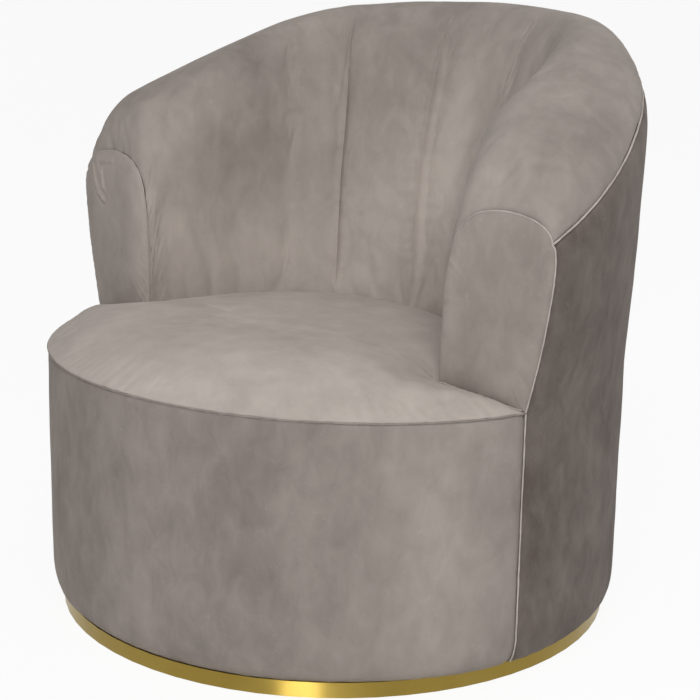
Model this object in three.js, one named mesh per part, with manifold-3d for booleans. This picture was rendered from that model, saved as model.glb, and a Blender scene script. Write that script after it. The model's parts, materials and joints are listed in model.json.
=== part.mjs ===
// Swivel tub chair with a padded barrel back, sewn channels and a round plinth.
// Millimetres, +Z up. The origin is on the floor, on the swivel axis. The sitter faces -Y.
import * as THREE from 'three';
import { mergeVertices } from 'three/addons/utils/BufferGeometryUtils.js';
import Module from 'manifold-3d';

const wasm = await Module();
wasm.setup();

// Clearances and cloth
const clearance = 0.3;
const clothThickness = 3;
const hardboard = 3;
const plywood = 15;

// Drum below the seat
const drumRadius = 368;
const sideSwell = 6;
const swellSpread = 28;
const hemHeight = 22;
const hemInset = 12;
const hemRise = 38;
const seamHeight = 328;
const seamFrontRise = 8;
const bottomBoardInset = 16;
const liningThickness = 1;
const deckHeight = 240;
const postWidth = 40;
const postDepth = 28;
const postInset = 24;
const postCount = 6;
const deckHoleInset = 168;
const deckHoleRadius = drumRadius - deckHoleInset;
const deckHoleForward = 60;
const deckEdgeGap = 2.2;

// Round plinth
const ringRadius = drumRadius - hemInset;
const ringWall = 1.5;
const ringHeight = 19;
const ringFloorGap = 1;
const glideRadius = 14;
const glideThickness = 2;
const glideInset = 40;
const glideCount = 4;

// Ball bearing of the swivel
const plateInner = 88;
const plateOuter = 150;
const plateThickness = 1.5;
const ballRadius = 3;
const ballCount = 10;
const raceRadius = 118;
const raceHalfWidth = 7;
const raceLip = 1.2;
const raceBed = 2.2;
const cageWall = 1;
const screwCount = 4;
const screwCircle = 138;
const screwShankRadius = 2;
const screwHeadRadius = 3.8;
const screwHeadHeight = 1.8;
const screwHeadTaper = 0.8;
const screwShankLength = 10;

// Seat springs and cushion
const springWire = 4;
const springPitch = 70;
const springCount = 4;
const springSwing = 22;
const springWaves = 5;
const clipLength = 20;
const clipWidth = 30;
const springPadThickness = 3;
const seatCrownHeight = 380;
const seatInnerEdge = 343;
const seatCentreForward = 140;
const seatFoamInset = 8.2;
const seatCrownReach = 140;
const seatCrownPower = 2.2;

// Padded wall of arms and back
const armAngle = 103;
const armBlendShare = 0.2;
const crestAngle = 105.2;
const crestInsetBack = 62;
const crestInsetSide = 96;
const crestInsetEnd = 27;
const crestSideShares = [0.25, 0.72];
const crestEndShares = [0.74, 1];
const crestBack = 754;
const crestArm = 600;
const crestEndDrop = 58;
const crestEndShare = 0.92;
const crestKneeShare = 0.47;
const crestKneeSoftShare = 0.2;
const crestSlopeShare = 1.75;
const pipingDropBack = 45;
const pipingDropArm = 87;
const pipingDropShare = 0.72;
const pipingDropSoftShare = 0.04;
const pipingDropSlope = 3.57;
const shoulderInset = 8;
const shoulderDrop = 40;
const flareBack = 3;
const flareArm = 34;
const flareBackReach = 420;
const flareArmReach = 255;
const flareShares = [0.4, 0.97];
const armThickness = 118;
const innerHalfWidth = drumRadius - armThickness;
const backThickness = 113;
const innerDepth = drumRadius - backThickness;
const innerCentreForward = 97;
const armFaceForward = 85;
const faceTurnShares = [0.25, 0.9];
const faceLeanBack = [0.32, 0.74];
const faceLeanArm = [0.03, 0.04];
const faceKneeBack = 0.44;
const faceKneeArm = 0.75;
const wallFootRise = 8.5;
const foamInside = 35;
const foamTop = 18;
const channelAngles = [-41.5, -14, 14, 41.5];
const channelDepth = 12;
const channelHalfWidth = 6.5;
const channelSharpness = 1.5;
const channelStartShares = [0.02, 0.25];
const channelEndShares = [0.62, 0.92];
const faceBulge = 11;
const faceEdge = 1.5;
const panelLift = 12;
const panelMiddleShares = [0.58, 0.42];
const pipingRadius = 2.4;

// Wooden frame inside the wall
const ribAngles = [-80, -54, -27, 0, 27, 54, 80];
const ribClearance = 2.5;
const railWidth = 24;
const railDrop = 9;
const railRoll = 72.5;
const railEndAngle = 89;

// Angles where the wall is cut into sections, closer together at the channels
const wallAngles = [0, 7, 11.5, 14, 16.5, 22, 30, 37, 41.5, 46, 54, 63, 72, 81, 89, 95, 100, armAngle];
const frontStepCount = 20;

// How finely the turned pieces are faceted
const plinthSegments = 64;
const plateSegments = 36;
const boardSegments = 64;
const liningSegments = 48;
const deckSegments = 32;
const glideSegments = 14;
const screwSegments = 8;

const materials = {
  brass: { color: '#b8934a', roughness: 0.25, metalness: 1 },
  steel: { color: '#9a9da0', roughness: 0.45, metalness: 1 },
  springSteel: { color: '#4c4d50', roughness: 0.5, metalness: 1 },
  plywood: { color: '#c9a878', roughness: 0.75, metalness: 0 },
  hardboard: { color: '#7d5d42', roughness: 0.85, metalness: 0 },
  felt: { color: '#5a5856', roughness: 0.95, metalness: 0 },
  foam: { color: '#e6dcc0', roughness: 0.95, metalness: 0 },
  lining: { color: '#232324', roughness: 0.95, metalness: 0 },
  velvet: { color: '#8f8680', roughness: 0.85, metalness: 0 },
};

const chair = new THREE.Group();

function addMesh(name, geometry, material) {
  const mesh = new THREE.Mesh(geometry, new THREE.MeshStandardMaterial(materials[material]));
  mesh.name = name;
  chair.add(mesh);
  return mesh;
}

// Numbers
const radians = THREE.MathUtils.degToRad;
const mix = THREE.MathUtils.lerp;
const ease = THREE.MathUtils.smoothstep;
const bezier = (t, a, b, c, d) => {
  const u = 1 - t;
  return u * u * u * a + 3 * u * u * t * b + 3 * u * t * t * c + t * t * t * d;
};
const softRamp = (t, softness) => (t + Math.hypot(t, softness)) / 2;

// A closed solid from its points and triangles, with its faces turned outwards
function solid(points, triangles) {
  let volume = 0;
  for (const [a, b, c] of triangles) {
    volume += points[a].dot(points[b].clone().cross(points[c]));
  }
  const geometry = new THREE.BufferGeometry();
  const order = volume < 0 ? triangles.map(([a, b, c]) => [a, c, b]) : triangles;
  geometry.setAttribute('position', new THREE.Float32BufferAttribute(points.flatMap((p) => p.toArray()), 3));
  geometry.setIndex(order.flat());
  return geometry;
}

// A sheet with a thickness: two grids of points of the same size, joined round their edges
function shell(outer, inner, closedLoop = false) {
  const columns = outer.length;
  const rows = outer[0].length;
  const points = [...outer.flat(), ...inner.flat()];
  const half = columns * rows;
  const at = (i, j, side) => side * half + (i % columns) * rows + j;
  const triangles = [];
  const quad = (a, b, c, d) => triangles.push([a, b, c], [a, c, d]);
  const spans = closedLoop ? columns : columns - 1;
  for (let i = 0; i < spans; i++) {
    for (let j = 0; j < rows - 1; j++) {
      quad(at(i, j, 0), at(i + 1, j, 0), at(i + 1, j + 1, 0), at(i, j + 1, 0));
      quad(at(i, j, 1), at(i, j + 1, 1), at(i + 1, j + 1, 1), at(i + 1, j, 1));
    }
    quad(at(i, 0, 1), at(i + 1, 0, 1), at(i + 1, 0, 0), at(i, 0, 0));
    quad(at(i, rows - 1, 0), at(i + 1, rows - 1, 0), at(i + 1, rows - 1, 1), at(i, rows - 1, 1));
  }
  if (!closedLoop) {
    const last = columns - 1;
    for (let j = 0; j < rows - 1; j++) {
      quad(at(0, j, 0), at(0, j + 1, 0), at(0, j + 1, 1), at(0, j, 1));
      quad(at(last, j, 1), at(last, j + 1, 1), at(last, j + 1, 0), at(last, j, 0));
    }
  }
  return solid(points, triangles);
}

// A lens or cushion: rings of points round a middle point, over a second set of rings
function lens(topRings, topMiddle, bottomRings, bottomMiddle) {
  const count = topRings[0].length;
  const points = [topMiddle, ...topRings.flat(), bottomMiddle, ...bottomRings.flat()];
  const bottomStart = 1 + topRings.length * count;
  const top = (ring, k) => 1 + ring * count + (k % count);
  const bottom = (ring, k) => bottomStart + 1 + ring * count + (k % count);
  const triangles = [];
  const face = (at, middle, rings, flip) => {
    for (let k = 0; k < count; k++) {
      triangles.push(flip ? [middle, at(0, k + 1), at(0, k)] : [middle, at(0, k), at(0, k + 1)]);
      for (let ring = 0; ring < rings - 1; ring++) {
        const [a, b, c, d] = [at(ring, k), at(ring + 1, k), at(ring + 1, k + 1), at(ring, k + 1)];
        triangles.push(...(flip ? [[a, c, b], [a, d, c]] : [[a, b, c], [a, c, d]]));
      }
    }
  };
  face(top, 0, topRings.length, false);
  face(bottom, bottomStart, bottomRings.length, true);
  for (let k = 0; k < count; k++) {
    const [a, b] = [top(topRings.length - 1, k), top(topRings.length - 1, k + 1)];
    const [c, d] = [bottom(bottomRings.length - 1, k + 1), bottom(bottomRings.length - 1, k)];
    triangles.push([a, d, c], [a, c, b]);
  }
  return solid(points, triangles);
}

// A flat board of any outline: the same outline placed twice
function board(outline, front, back) {
  const flat = outline.map(([u, v]) => new THREE.Vector2(u, v));
  const count = flat.length;
  const points = [...outline.map(([u, v]) => front(u, v)), ...outline.map(([u, v]) => back(u, v))];
  const triangles = [];
  for (const [a, b, c] of THREE.ShapeUtils.triangulateShape(flat, [])) {
    triangles.push([a, b, c], [a + count, c + count, b + count]);
  }
  const turn = THREE.ShapeUtils.isClockWise(flat) ? 1 : -1;
  for (let k = 0; k < count; k++) {
    const next = (k + 1) % count;
    const [p, q] = turn > 0 ? [k, next] : [next, k];
    triangles.push([p, q, q + count], [p, q + count, p + count]);
  }
  return solid(points, triangles);
}

// A round tube along points
function cordTube(points, radius, steps, sides) {
  const section = new THREE.Shape();
  for (let k = 0; k < sides; k++) {
    const turn = (k / sides) * Math.PI * 2;
    const [x, y] = [radius * Math.cos(turn), radius * Math.sin(turn)];
    k === 0 ? section.moveTo(x, y) : section.lineTo(x, y);
  }
  const path = new THREE.CatmullRomCurve3(points);
  return new THREE.ExtrudeGeometry(section, { steps, bevelEnabled: false, extrudePath: path });
}

// A turned piece about the swivel axis, from pairs of radius and height
function turned(profile, segments) {
  const outline = profile.map(([r, z]) => new THREE.Vector2(r, z));
  return new THREE.LatheGeometry(outline, segments).rotateX(Math.PI / 2);
}

const ringOutline = (inner, outer, low, high) => {
  return [[inner, low], [outer, low], [outer, high], [inner, high], [inner, low]];
};
const discOutline = (radius, low, high) => [[0, low], [radius, low], [radius, high], [0, high]];

// Boolean cuts
function toManifold(geometry) {
  const bare = geometry.clone();
  bare.deleteAttribute('normal');
  bare.deleteAttribute('uv');
  const merged = mergeVertices(bare);
  const vertProperties = merged.attributes.position.array;
  const triVerts = Uint32Array.from(merged.index.array);
  return new wasm.Manifold(new wasm.Mesh({ numProp: 3, vertProperties, triVerts }));
}

function fromManifold(body) {
  const mesh = body.getMesh();
  const result = new THREE.BufferGeometry();
  result.setAttribute('position', new THREE.Float32BufferAttribute(mesh.vertProperties, 3));
  result.setIndex(Array.from(mesh.triVerts));
  return result;
}

function drilled(geometry, tools) {
  return fromManifold(tools.reduce((body, tool) => body.subtract(toManifold(tool)), toManifold(geometry)));
}

function fused(pieces) {
  return fromManifold(pieces.map(toManifold).reduce((body, piece) => body.add(piece)));
}

function onCircle(count, radius, height, make, startTurn = 0) {
  const copies = [];
  for (let k = 0; k < count; k++) {
    const turn = ((k + startTurn) / count) * Math.PI * 2;
    copies.push(make(turn).translate(radius * Math.cos(turn), radius * Math.sin(turn), height));
  }
  return copies;
}

function addCopies(name, pieces, material) {
  pieces.forEach((piece, k) => addMesh(`${name}_${k + 1}`, piece, material));
}

// Heights that stack up from the floor
const plinthLow = glideThickness + clearance;
const plinthTop = plinthLow + plywood;
const lowerPlateLow = plinthTop + clearance;
const raceLow = lowerPlateLow + raceBed;
const ballHeight = raceLow + clearance + ballRadius;
const raceHigh = ballHeight + ballRadius + clearance;
const upperPlateHigh = raceHigh + raceBed;
const bottomBoardLow = upperPlateHigh + clearance;
const bottomBoardTop = bottomBoardLow + plywood;
const deckTop = deckHeight + plywood;
const wallFoot = deckTop + wallFootRise;
const springHeight = deckTop + clearance + springWire / 2;
const springPadLow = springHeight + springWire / 2 + clearance;
const seatFoamLow = springPadLow + springPadThickness + clearance;

// Plinth
function makePlinth() {
  const ring = ringOutline(ringRadius - ringWall, ringRadius, ringFloorGap, ringFloorGap + ringHeight);
  addMesh('base_ring', turned(ring, plinthSegments), 'brass');
  const hole = screwShankRadius + clearance;
  const holes = screwTools(plinthTop - screwShankLength, plinthTop + clearance, hole, 0);
  const disc = turned(discOutline(ringRadius - ringWall - clearance, plinthLow, plinthTop), plinthSegments);
  addMesh('base_disc', drilled(disc, holes), 'plywood');
  const glide = () => {
    const pad = new THREE.CylinderGeometry(glideRadius, glideRadius, glideThickness, glideSegments);
    return pad.rotateX(Math.PI / 2);
  };
  addCopies('glide', onCircle(glideCount, ringRadius - glideInset, glideThickness / 2, glide, 0.5), 'felt');
}

function screwTools(low, high, radius, startTurn) {
  const tool = () => {
    const cutter = new THREE.CylinderGeometry(radius, radius, high - low, screwSegments);
    return cutter.rotateX(Math.PI / 2);
  };
  return onCircle(screwCount, screwCircle, (low + high) / 2, tool, startTurn);
}

function plateOutline() {
  const bed = raceBed - plateThickness;
  return [
    [plateInner, 0], [plateOuter, 0], [plateOuter, plateThickness],
    [raceRadius + raceHalfWidth, plateThickness],
    [raceRadius + raceHalfWidth - plateThickness, raceBed + raceLip],
    [raceRadius + ballRadius + bed, raceBed],
    [raceRadius - ballRadius - bed, raceBed],
    [raceRadius - raceHalfWidth + plateThickness, raceBed + raceLip],
    [raceRadius - raceHalfWidth, plateThickness],
    [plateInner, plateThickness], [plateInner, 0],
  ];
}

function addScrews(name, seat, turnedOver, startTurn) {
  const tip = plateThickness + clearance - screwShankLength;
  const outline = [
    [0, tip], [screwShankRadius, tip],
    [screwShankRadius, 0], [screwHeadRadius, 0],
    [screwHeadRadius * screwHeadTaper, screwHeadHeight], [0, screwHeadHeight],
  ];
  const one = () => {
    const screw = turned(outline, screwSegments);
    return turnedOver ? screw.rotateX(Math.PI) : screw;
  };
  addCopies(name, onCircle(screwCount, screwCircle, seat, one, startTurn), 'steel');
}

// Swivel: two pressed plates with facing races, and the balls between them
function makeSwivel() {
  const lowerFace = lowerPlateLow + plateThickness;
  const upperFace = upperPlateHigh - plateThickness;
  const hole = screwShankRadius + clearance;
  const lower = turned(plateOutline().map(([r, z]) => [r, lowerPlateLow + z]), plateSegments);
  const lowerHoles = screwTools(lowerPlateLow - clearance, lowerFace + clearance, hole, 0);
  addMesh('swivel_lower_plate', drilled(lower, lowerHoles), 'steel');
  const upper = turned(plateOutline().map(([r, z]) => [r, upperPlateHigh - z]).reverse(), plateSegments);
  const upperHoles = screwTools(upperFace - clearance, upperPlateHigh + clearance, hole, 0.5);
  addMesh('swivel_upper_plate', drilled(upper, upperHoles), 'steel');
  const ball = () => new THREE.IcosahedronGeometry(ballRadius, 1);
  const [cageInner, cageOuter] = [raceRadius - cageWall, raceRadius + cageWall];
  const cageOutline = ringOutline(cageInner, cageOuter, ballHeight - cageWall, ballHeight + cageWall);
  const cage = turned(cageOutline, ballCount * 2);
  addMesh('ball_cage', fused([cage, ...onCircle(ballCount, raceRadius, ballHeight, ball)]), 'steel');
  addScrews('plinth_screw', lowerFace + clearance, false, 0);
  addScrews('tub_screw', upperFace - clearance, true, 0.5);
}

// Outer skin of the drum and of the wall above it
function drumRadiusAt(angle) {
  const away = (Math.abs(angle) - armAngle) / swellSpread;
  return drumRadius + sideSwell * Math.exp(-away * away);
}

function hemCut(z) {
  const low = THREE.MathUtils.clamp((hemHeight + hemRise - z) / hemRise, 0, 1);
  return hemInset * (1 - Math.sqrt(1 - low * low));
}

// How far the rim has fallen from the back towards the arm
function rimFall(angle) {
  const t = Math.abs(angle) / armAngle - crestKneeShare;
  const fall = softRamp(t, crestKneeSoftShare) - softRamp(-crestKneeShare, crestKneeSoftShare);
  return (crestBack - crestArm) * crestSlopeShare * fall;
}

function crestHeight(angle) {
  const toEnd = (Math.abs(angle) / armAngle - crestEndShare) / (1 - crestEndShare);
  const atEnd = THREE.MathUtils.clamp(toEnd, 0, 1);
  return crestBack - rimFall(angle) - crestEndDrop * (1 - Math.sqrt(1 - atEnd * atEnd));
}

function pipingHeight(angle) {
  const toArm = softRamp(Math.abs(angle) / armAngle - pipingDropShare, pipingDropSoftShare) * pipingDropSlope;
  return crestBack - rimFall(angle) - mix(pipingDropBack, pipingDropArm, toArm);
}

function flare(angle, z) {
  const side = ease(Math.abs(angle) / armAngle, ...flareShares);
  const reach = mix(flareBackReach, flareArmReach, side);
  const left = 1 - THREE.MathUtils.clamp((z - seamHeight) / reach, 0, 1);
  const near = THREE.MathUtils.clamp(1 - (pipingHeight(angle) - z) / shoulderDrop, 0, 1);
  const shoulder = shoulderInset * (1 - Math.sqrt(1 - near * near));
  return mix(flareBack, flareArm, side) * (1 - left * left) - shoulder;
}

function crestPlan(angle) {
  const share = Math.abs(angle) / armAngle;
  const toSide = mix(crestInsetBack, crestInsetSide, ease(share, ...crestSideShares));
  const inset = toSide + (crestInsetEnd - crestInsetSide) * ease(share, ...crestEndShares);
  return polar(drumRadius - inset, (angle / armAngle) * crestAngle);
}

function polar(radius, angle) {
  return new THREE.Vector2(radius * Math.sin(radians(angle)), radius * Math.cos(radians(angle)));
}

function outerPlan(angle, z, inset) {
  const place = polar(drumRadiusAt(angle) - hemCut(z) - inset, angle);
  const leanAngle = (angle / armAngle) * 90;
  return Math.abs(angle) > armAngle ? place : place.add(polar(flare(angle, z), leanAngle));
}

function innerPlan(angle, inset) {
  const turn = radians((angle / armAngle) * 90);
  const x = (innerHalfWidth + inset) * Math.sin(turn);
  return new THREE.Vector2(x, (innerDepth + inset) * Math.cos(turn) - innerCentreForward);
}

function channelCut(angle, t) {
  let deepest = 0;
  for (const seam of channelAngles) {
    const away = Math.min(1, Math.abs(angle - seam) / channelHalfWidth);
    deepest = Math.max(deepest, (1 - away) ** channelSharpness);
  }
  return channelDepth * deepest * ease(t, ...channelStartShares) * (1 - ease(t, ...channelEndShares));
}

// Height of a row on the outside: given, a share of the way up to the piping, or a share below it
function rowHeight(angle, row) {
  const highest = pipingHeight(angle) - clearance;
  const belowPiping = highest - shoulderDrop * row.below;
  return row.height ?? (row.rise === undefined ? belowPiping : mix(seamHeight, highest, row.rise));
}

// One point of the wall's skin. A row is a height on the outside, an angle of the roll over the
// crest, a share of the inside face, or the foot of the inside face.
function skinPoint(angle, row, inset) {
  const crest = crestHeight(angle) - inset.top;
  const top = crestPlan(angle);
  if (row.height !== undefined || row.rise !== undefined || row.below !== undefined) {
    const z = rowHeight(angle, row);
    const place = outerPlan(angle, z, inset.out);
    return new THREE.Vector3(place.x, place.y, z);
  }
  if (row.roll !== undefined) {
    const piping = pipingHeight(angle);
    const edge = outerPlan(angle, piping, inset.out);
    const turn = radians(row.roll);
    const place = top.lerp(edge, Math.cos(turn));
    return new THREE.Vector3(place.x, place.y, mix(piping, crest, Math.sin(turn)));
  }
  const start = innerPlan(angle, inset.inside);
  if (row.foot !== undefined) {
    return new THREE.Vector3(start.x, start.y, row.foot);
  }
  const t = row.face;
  const side = ease(Math.abs(angle) / armAngle, ...faceTurnShares);
  const [early, late] = faceLeanBack.map((share, k) => mix(share, faceLeanArm[k], side));
  const lean = bezier(t, 0, early, late, 1);
  const knee = mix(seatInnerEdge, crest, mix(faceKneeBack, faceKneeArm, side));
  const z = bezier(t, seatInnerEdge, knee, crest, crest);
  const cut = inset.channels ? channelCut(angle, t) : 0;
  const reach = start.distanceTo(top);
  const place = start.lerp(top, lean + cut / reach);
  return new THREE.Vector3(place.x, place.y, z);
}

const armFace = (x) => -armFaceForward - (drumRadius - Math.abs(x)) * armFaceSlope;
const armFaceSlope = (innerCentreForward - armFaceForward) / (drumRadius - innerHalfWidth);

// The same point, eased on to the flat plane of the arm fronts where the wall ends
function wallPoint(angle, row, inset) {
  const point = skinPoint(angle, row, inset);
  const end = skinPoint(Math.sign(angle || 1) * armAngle, row, inset);
  const share = Math.abs(angle) / armAngle;
  const weight = 1 - ease(Math.abs(1 - share), 0, armBlendShare);
  point.y += weight * (armFace(end.x) - end.y);
  return point;
}

const evenInset = (depth, channels) => ({ out: depth, top: depth, inside: depth, channels });
const backAngles = [...wallAngles.slice(1).reverse().map((a) => -a), ...wallAngles];
const frontAngles = Array.from({ length: frontStepCount + 1 }, (_, k) => {
  return mix(armAngle, 360 - armAngle, k / frontStepCount);
});
const signed = (angle) => (angle > 180 ? angle - 360 : angle);

const rollRows = [0, 24, 48, 70].map((roll) => ({ roll }));
const faceRows = [1, 0.9, 0.79, 0.67, 0.54, 0.41, 0.28, 0.14, 0].map((face) => ({ face }));
const paddedRows = [...rollRows, ...faceRows, { foot: wallFoot }];
const hemRowShares = [0, 0.22, 0.5, 1];
const hemRows = hemRowShares.map((share) => ({ height: hemHeight + hemRise * share }));
const drumRows = [...hemRows, { height: (seamHeight + hemHeight) / 2 }, { height: seamHeight - clearance }];
const shoulderRows = [1, 0.4, 0].map((below) => ({ below }));
const risingRows = [{ rise: 0.33 }, { rise: 0.62 }, ...shoulderRows];

const grid = (angles, rows, inset) => angles.map((angle) => {
  return rows.map((row) => wallPoint(signed(angle), row, inset));
});

// Velvet covers of the wall and of the drum's front
function makeCovers() {
  const face = evenInset(0, true);
  const back = evenInset(clothThickness, true);
  const sheet = (rows) => shell(grid(backAngles, rows, face), grid(backAngles, rows, back));
  addMesh('inside_cover', sheet(paddedRows), 'velvet');
  addMesh('outer_cover', sheet([...drumRows, ...risingRows]), 'velvet');
  const gap = clearance / drumRadius * THREE.MathUtils.RAD2DEG;
  const bandAngles = [armAngle + gap, ...frontAngles.slice(1, -1), 360 - armAngle - gap];
  const bandGrid = (inset) => bandAngles.map((angle) => drumRows.map((row) => {
    const lifted = row === drumRows.at(-1) ? { height: frontSeam(angle) - clearance } : row;
    return wallPoint(signed(angle), lifted, inset);
  }));
  addMesh('front_band', shell(bandGrid(face), bandGrid(back)), 'velvet');
}

function frontSeam(angle) {
  const forward = Math.max(0, -Math.cos(radians(angle)));
  return seamHeight + seamFrontRise * forward * forward;
}

// Foam of the wall, thick inside and thinner over the crest
function makeBackFoam() {
  const face = evenInset(clothThickness + clearance, true);
  const deep = { out: foamTop, top: foamTop, inside: foamInside, channels: false };
  addMesh('back_foam', shell(grid(backAngles, paddedRows, face), grid(backAngles, paddedRows, deep)), 'foam');
}

// Hardboard under the covers: one panel behind the back, one hoop round the drum
function makeBoards() {
  const outside = evenInset(clothThickness + clearance * 2, false);
  const inside = evenInset(clothThickness + clearance * 2 + hardboard, false);
  const backRows = [{ rise: 0 }, ...risingRows.slice(0, -1)];
  const panel = shell(grid(backAngles, backRows, outside), grid(backAngles, backRows, inside));
  addMesh('back_panel', panel, 'hardboard');
  const hoopAngles = [...backAngles, ...frontAngles.slice(1, -1)];
  const hoopRows = [...hemRows.slice(2), { height: seamHeight - clothThickness - hardboard }];
  const hoop = shell(grid(hoopAngles, hoopRows, outside), grid(hoopAngles, hoopRows, inside), true);
  addMesh('drum_hoop', hoop, 'hardboard');
}

// Seat outline: the front seam from arm to arm, then round the inside of the wall
function seatOutline() {
  const edge = clothThickness + clearance;
  const front = frontAngles.map((angle) => {
    const place = wallPoint(signed(angle), { height: seamHeight }, evenInset(0, false));
    const y = Math.min(place.y, armFace(place.x) - clearance * 2);
    return new THREE.Vector3(place.x, y, frontSeam(angle) + edge);
  });
  const inside = backAngles.map((angle) => {
    const place = innerPlan(angle, -clearance);
    const y = Math.abs(angle) < armAngle ? place.y : place.y - clearance * 3;
    return new THREE.Vector3(place.x, y, seatInnerEdge);
  });
  return [...front, ...inside];
}

const seatRingShares = [0.3, 0.56, 0.76, 0.89, 0.96, 1];

// Height of the crowned seat. Every stretch of the outline pulls it down, the near ones most, and
// for a straight edge the weights add up to the plain distance from that edge.
function seatHeight(outline, x, y) {
  const place = new THREE.Vector3(x, y, 0);
  let [weights, edges] = [0, 0];
  outline.forEach((point, k) => {
    const next = outline[(k + 1) % outline.length];
    const segment = new THREE.Line3(point.clone().setZ(0), next.clone().setZ(0));
    const share = segment.closestPointToPointParameter(place, true);
    const away = segment.at(share, new THREE.Vector3()).distanceTo(place);
    const weight = segment.distance() / away ** 3;
    weights += weight;
    edges += weight * mix(point.z, next.z, share);
  });
  const left = 1 - Math.min(1, Math.sqrt(2 / weights) / seatCrownReach);
  return mix(edges / weights, seatCrownHeight, 1 - left ** seatCrownPower);
}

function seatRing(outline, share, drop) {
  return outline.map((point) => {
    const [x, y] = [point.x * share, mix(-seatCentreForward, point.y, share)];
    return new THREE.Vector3(x, y, (share < 1 ? seatHeight(outline, x, y) : point.z) - drop);
  });
}

const seatRings = (outline, drop) => seatRingShares.map((share) => seatRing(outline, share, drop));

// The cushion's outermost ring, a little inside the cover's edge, and how many rings lie within it
const seatFoamShare = 1 - seatFoamInset / (drumRadius - seatCentreForward);
const seatFoamCount = seatRingShares.findIndex((share) => share > seatFoamShare);

function seatFoamRing(outline, drop) {
  const [inner, outer] = seatRings(outline, drop).slice(seatFoamCount - 1);
  const [start, end] = seatRingShares.slice(seatFoamCount - 1);
  return inner.map((point, k) => point.clone().lerp(outer[k], (seatFoamShare - start) / (end - start)));
}

function makeSeat() {
  const outline = seatOutline();
  const middle = (z) => new THREE.Vector3(0, -seatCentreForward, z);
  const [over, under] = [0, clothThickness].map((drop) => seatRings(outline, drop));
  const cover = lens(over, middle(seatCrownHeight), under, middle(seatCrownHeight - clothThickness));
  addMesh('seat_cover', cover, 'velvet');

  const drop = clothThickness + clearance * 3;
  const foamRings = [...seatRings(outline, drop).slice(0, seatFoamCount), seatFoamRing(outline, drop)];
  const flat = foamRings.at(-1).map((point) => point.clone().setZ(seatFoamLow));
  addMesh('seat_foam', lens(foamRings, middle(seatCrownHeight - drop), [flat], middle(seatFoamLow)), 'foam');
}

// Deck: plywood top with a round opening, springs across it, and a felt pad over them
function makeDeck() {
  const boardRadius = drumRadius - clothThickness - clearance - hardboard - deckEdgeGap;
  const plate = new THREE.Shape().absarc(0, 0, boardRadius, 0, Math.PI * 2);
  plate.holes.push(new THREE.Path().absarc(0, -deckHoleForward, deckHoleRadius, 0, Math.PI * 2, true));
  const cut = { depth: plywood, bevelEnabled: false, curveSegments: deckSegments };
  const deck = new THREE.ExtrudeGeometry(plate, cut);
  addMesh('deck_board', deck.translate(0, 0, deckHeight), 'plywood');

  for (let k = 0; k < springCount; k++) {
    const x = (k - (springCount - 1) / 2) * springPitch;
    const half = Math.sqrt(deckHoleRadius ** 2 - x ** 2) + clipLength;
    const points = [];
    const steps = springWaves * 6;
    for (let n = 0; n <= steps; n++) {
      const share = n / steps;
      const swing = springSwing * Math.sin(share * springWaves * Math.PI * 2);
      points.push(new THREE.Vector3(x + swing, mix(-half, half, share) - deckHoleForward, springHeight));
    }
    const clips = [-1, 1].map((end) => {
      const clip = new THREE.BoxGeometry(clipWidth, clipLength, springWire);
      return clip.translate(x, end * half - deckHoleForward, springHeight);
    });
    const spring = fused([cordTube(points, springWire / 2, steps, 5), ...clips]);
    addMesh(`seat_spring_${k + 1}`, spring, 'springSteel');
  }

  const pad = seatFoamRing(seatOutline(), 0).map((point) => [point.x, point.y]);
  const low = (x, y) => new THREE.Vector3(x, y, springPadLow);
  const high = (x, y) => new THREE.Vector3(x, y, springPadLow + springPadThickness);
  addMesh('spring_pad', board(pad, low, high), 'felt');
}

// Bottom board with its lining, and the posts that carry the deck
function makeDrumFrame() {
  const radius = drumRadius - bottomBoardInset;
  const hole = screwShankRadius + clearance;
  const tools = screwTools(bottomBoardLow - clearance, bottomBoardLow + screwShankLength, hole, 0.5);
  const disc = turned(discOutline(radius, bottomBoardLow, bottomBoardTop), boardSegments);
  addMesh('bottom_board', drilled(disc, tools), 'plywood');
  const liningHigh = bottomBoardLow - clearance;
  const liningLow = liningHigh - liningThickness;
  const lining = ringOutline(plateOuter + clearance, radius - clothThickness, liningLow, liningHigh);
  addMesh('dust_cover', turned(lining, liningSegments), 'lining');
  for (let k = 0; k < postCount; k++) {
    const turn = ((k + 0.5) / postCount) * 360;
    const place = polar(drumRadius - postInset - postDepth / 2, turn);
    const height = deckHeight - bottomBoardTop - clearance * 2;
    const post = new THREE.BoxGeometry(postWidth, postDepth, height);
    const mesh = addMesh(`drum_post_${k + 1}`, post, 'plywood');
    mesh.rotation.z = -radians(turn);
    mesh.position.set(place.x, place.y, bottomBoardTop + clearance + height / 2);
  }
}

// The wall's section angle whose point on a row lies on the given bearing from the swivel axis
function sectionOnBearing(bearing, row, inset) {
  let [low, high] = [-armAngle, armAngle];
  for (let step = 0; step < 40; step++) {
    const middle = (low + high) / 2;
    const point = skinPoint(middle, row, inset);
    const found = Math.atan2(point.x, point.y) * THREE.MathUtils.RAD2DEG;
    [low, high] = found < bearing ? [middle, high] : [low, middle];
  }
  return skinPoint(low, row, inset);
}

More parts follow.
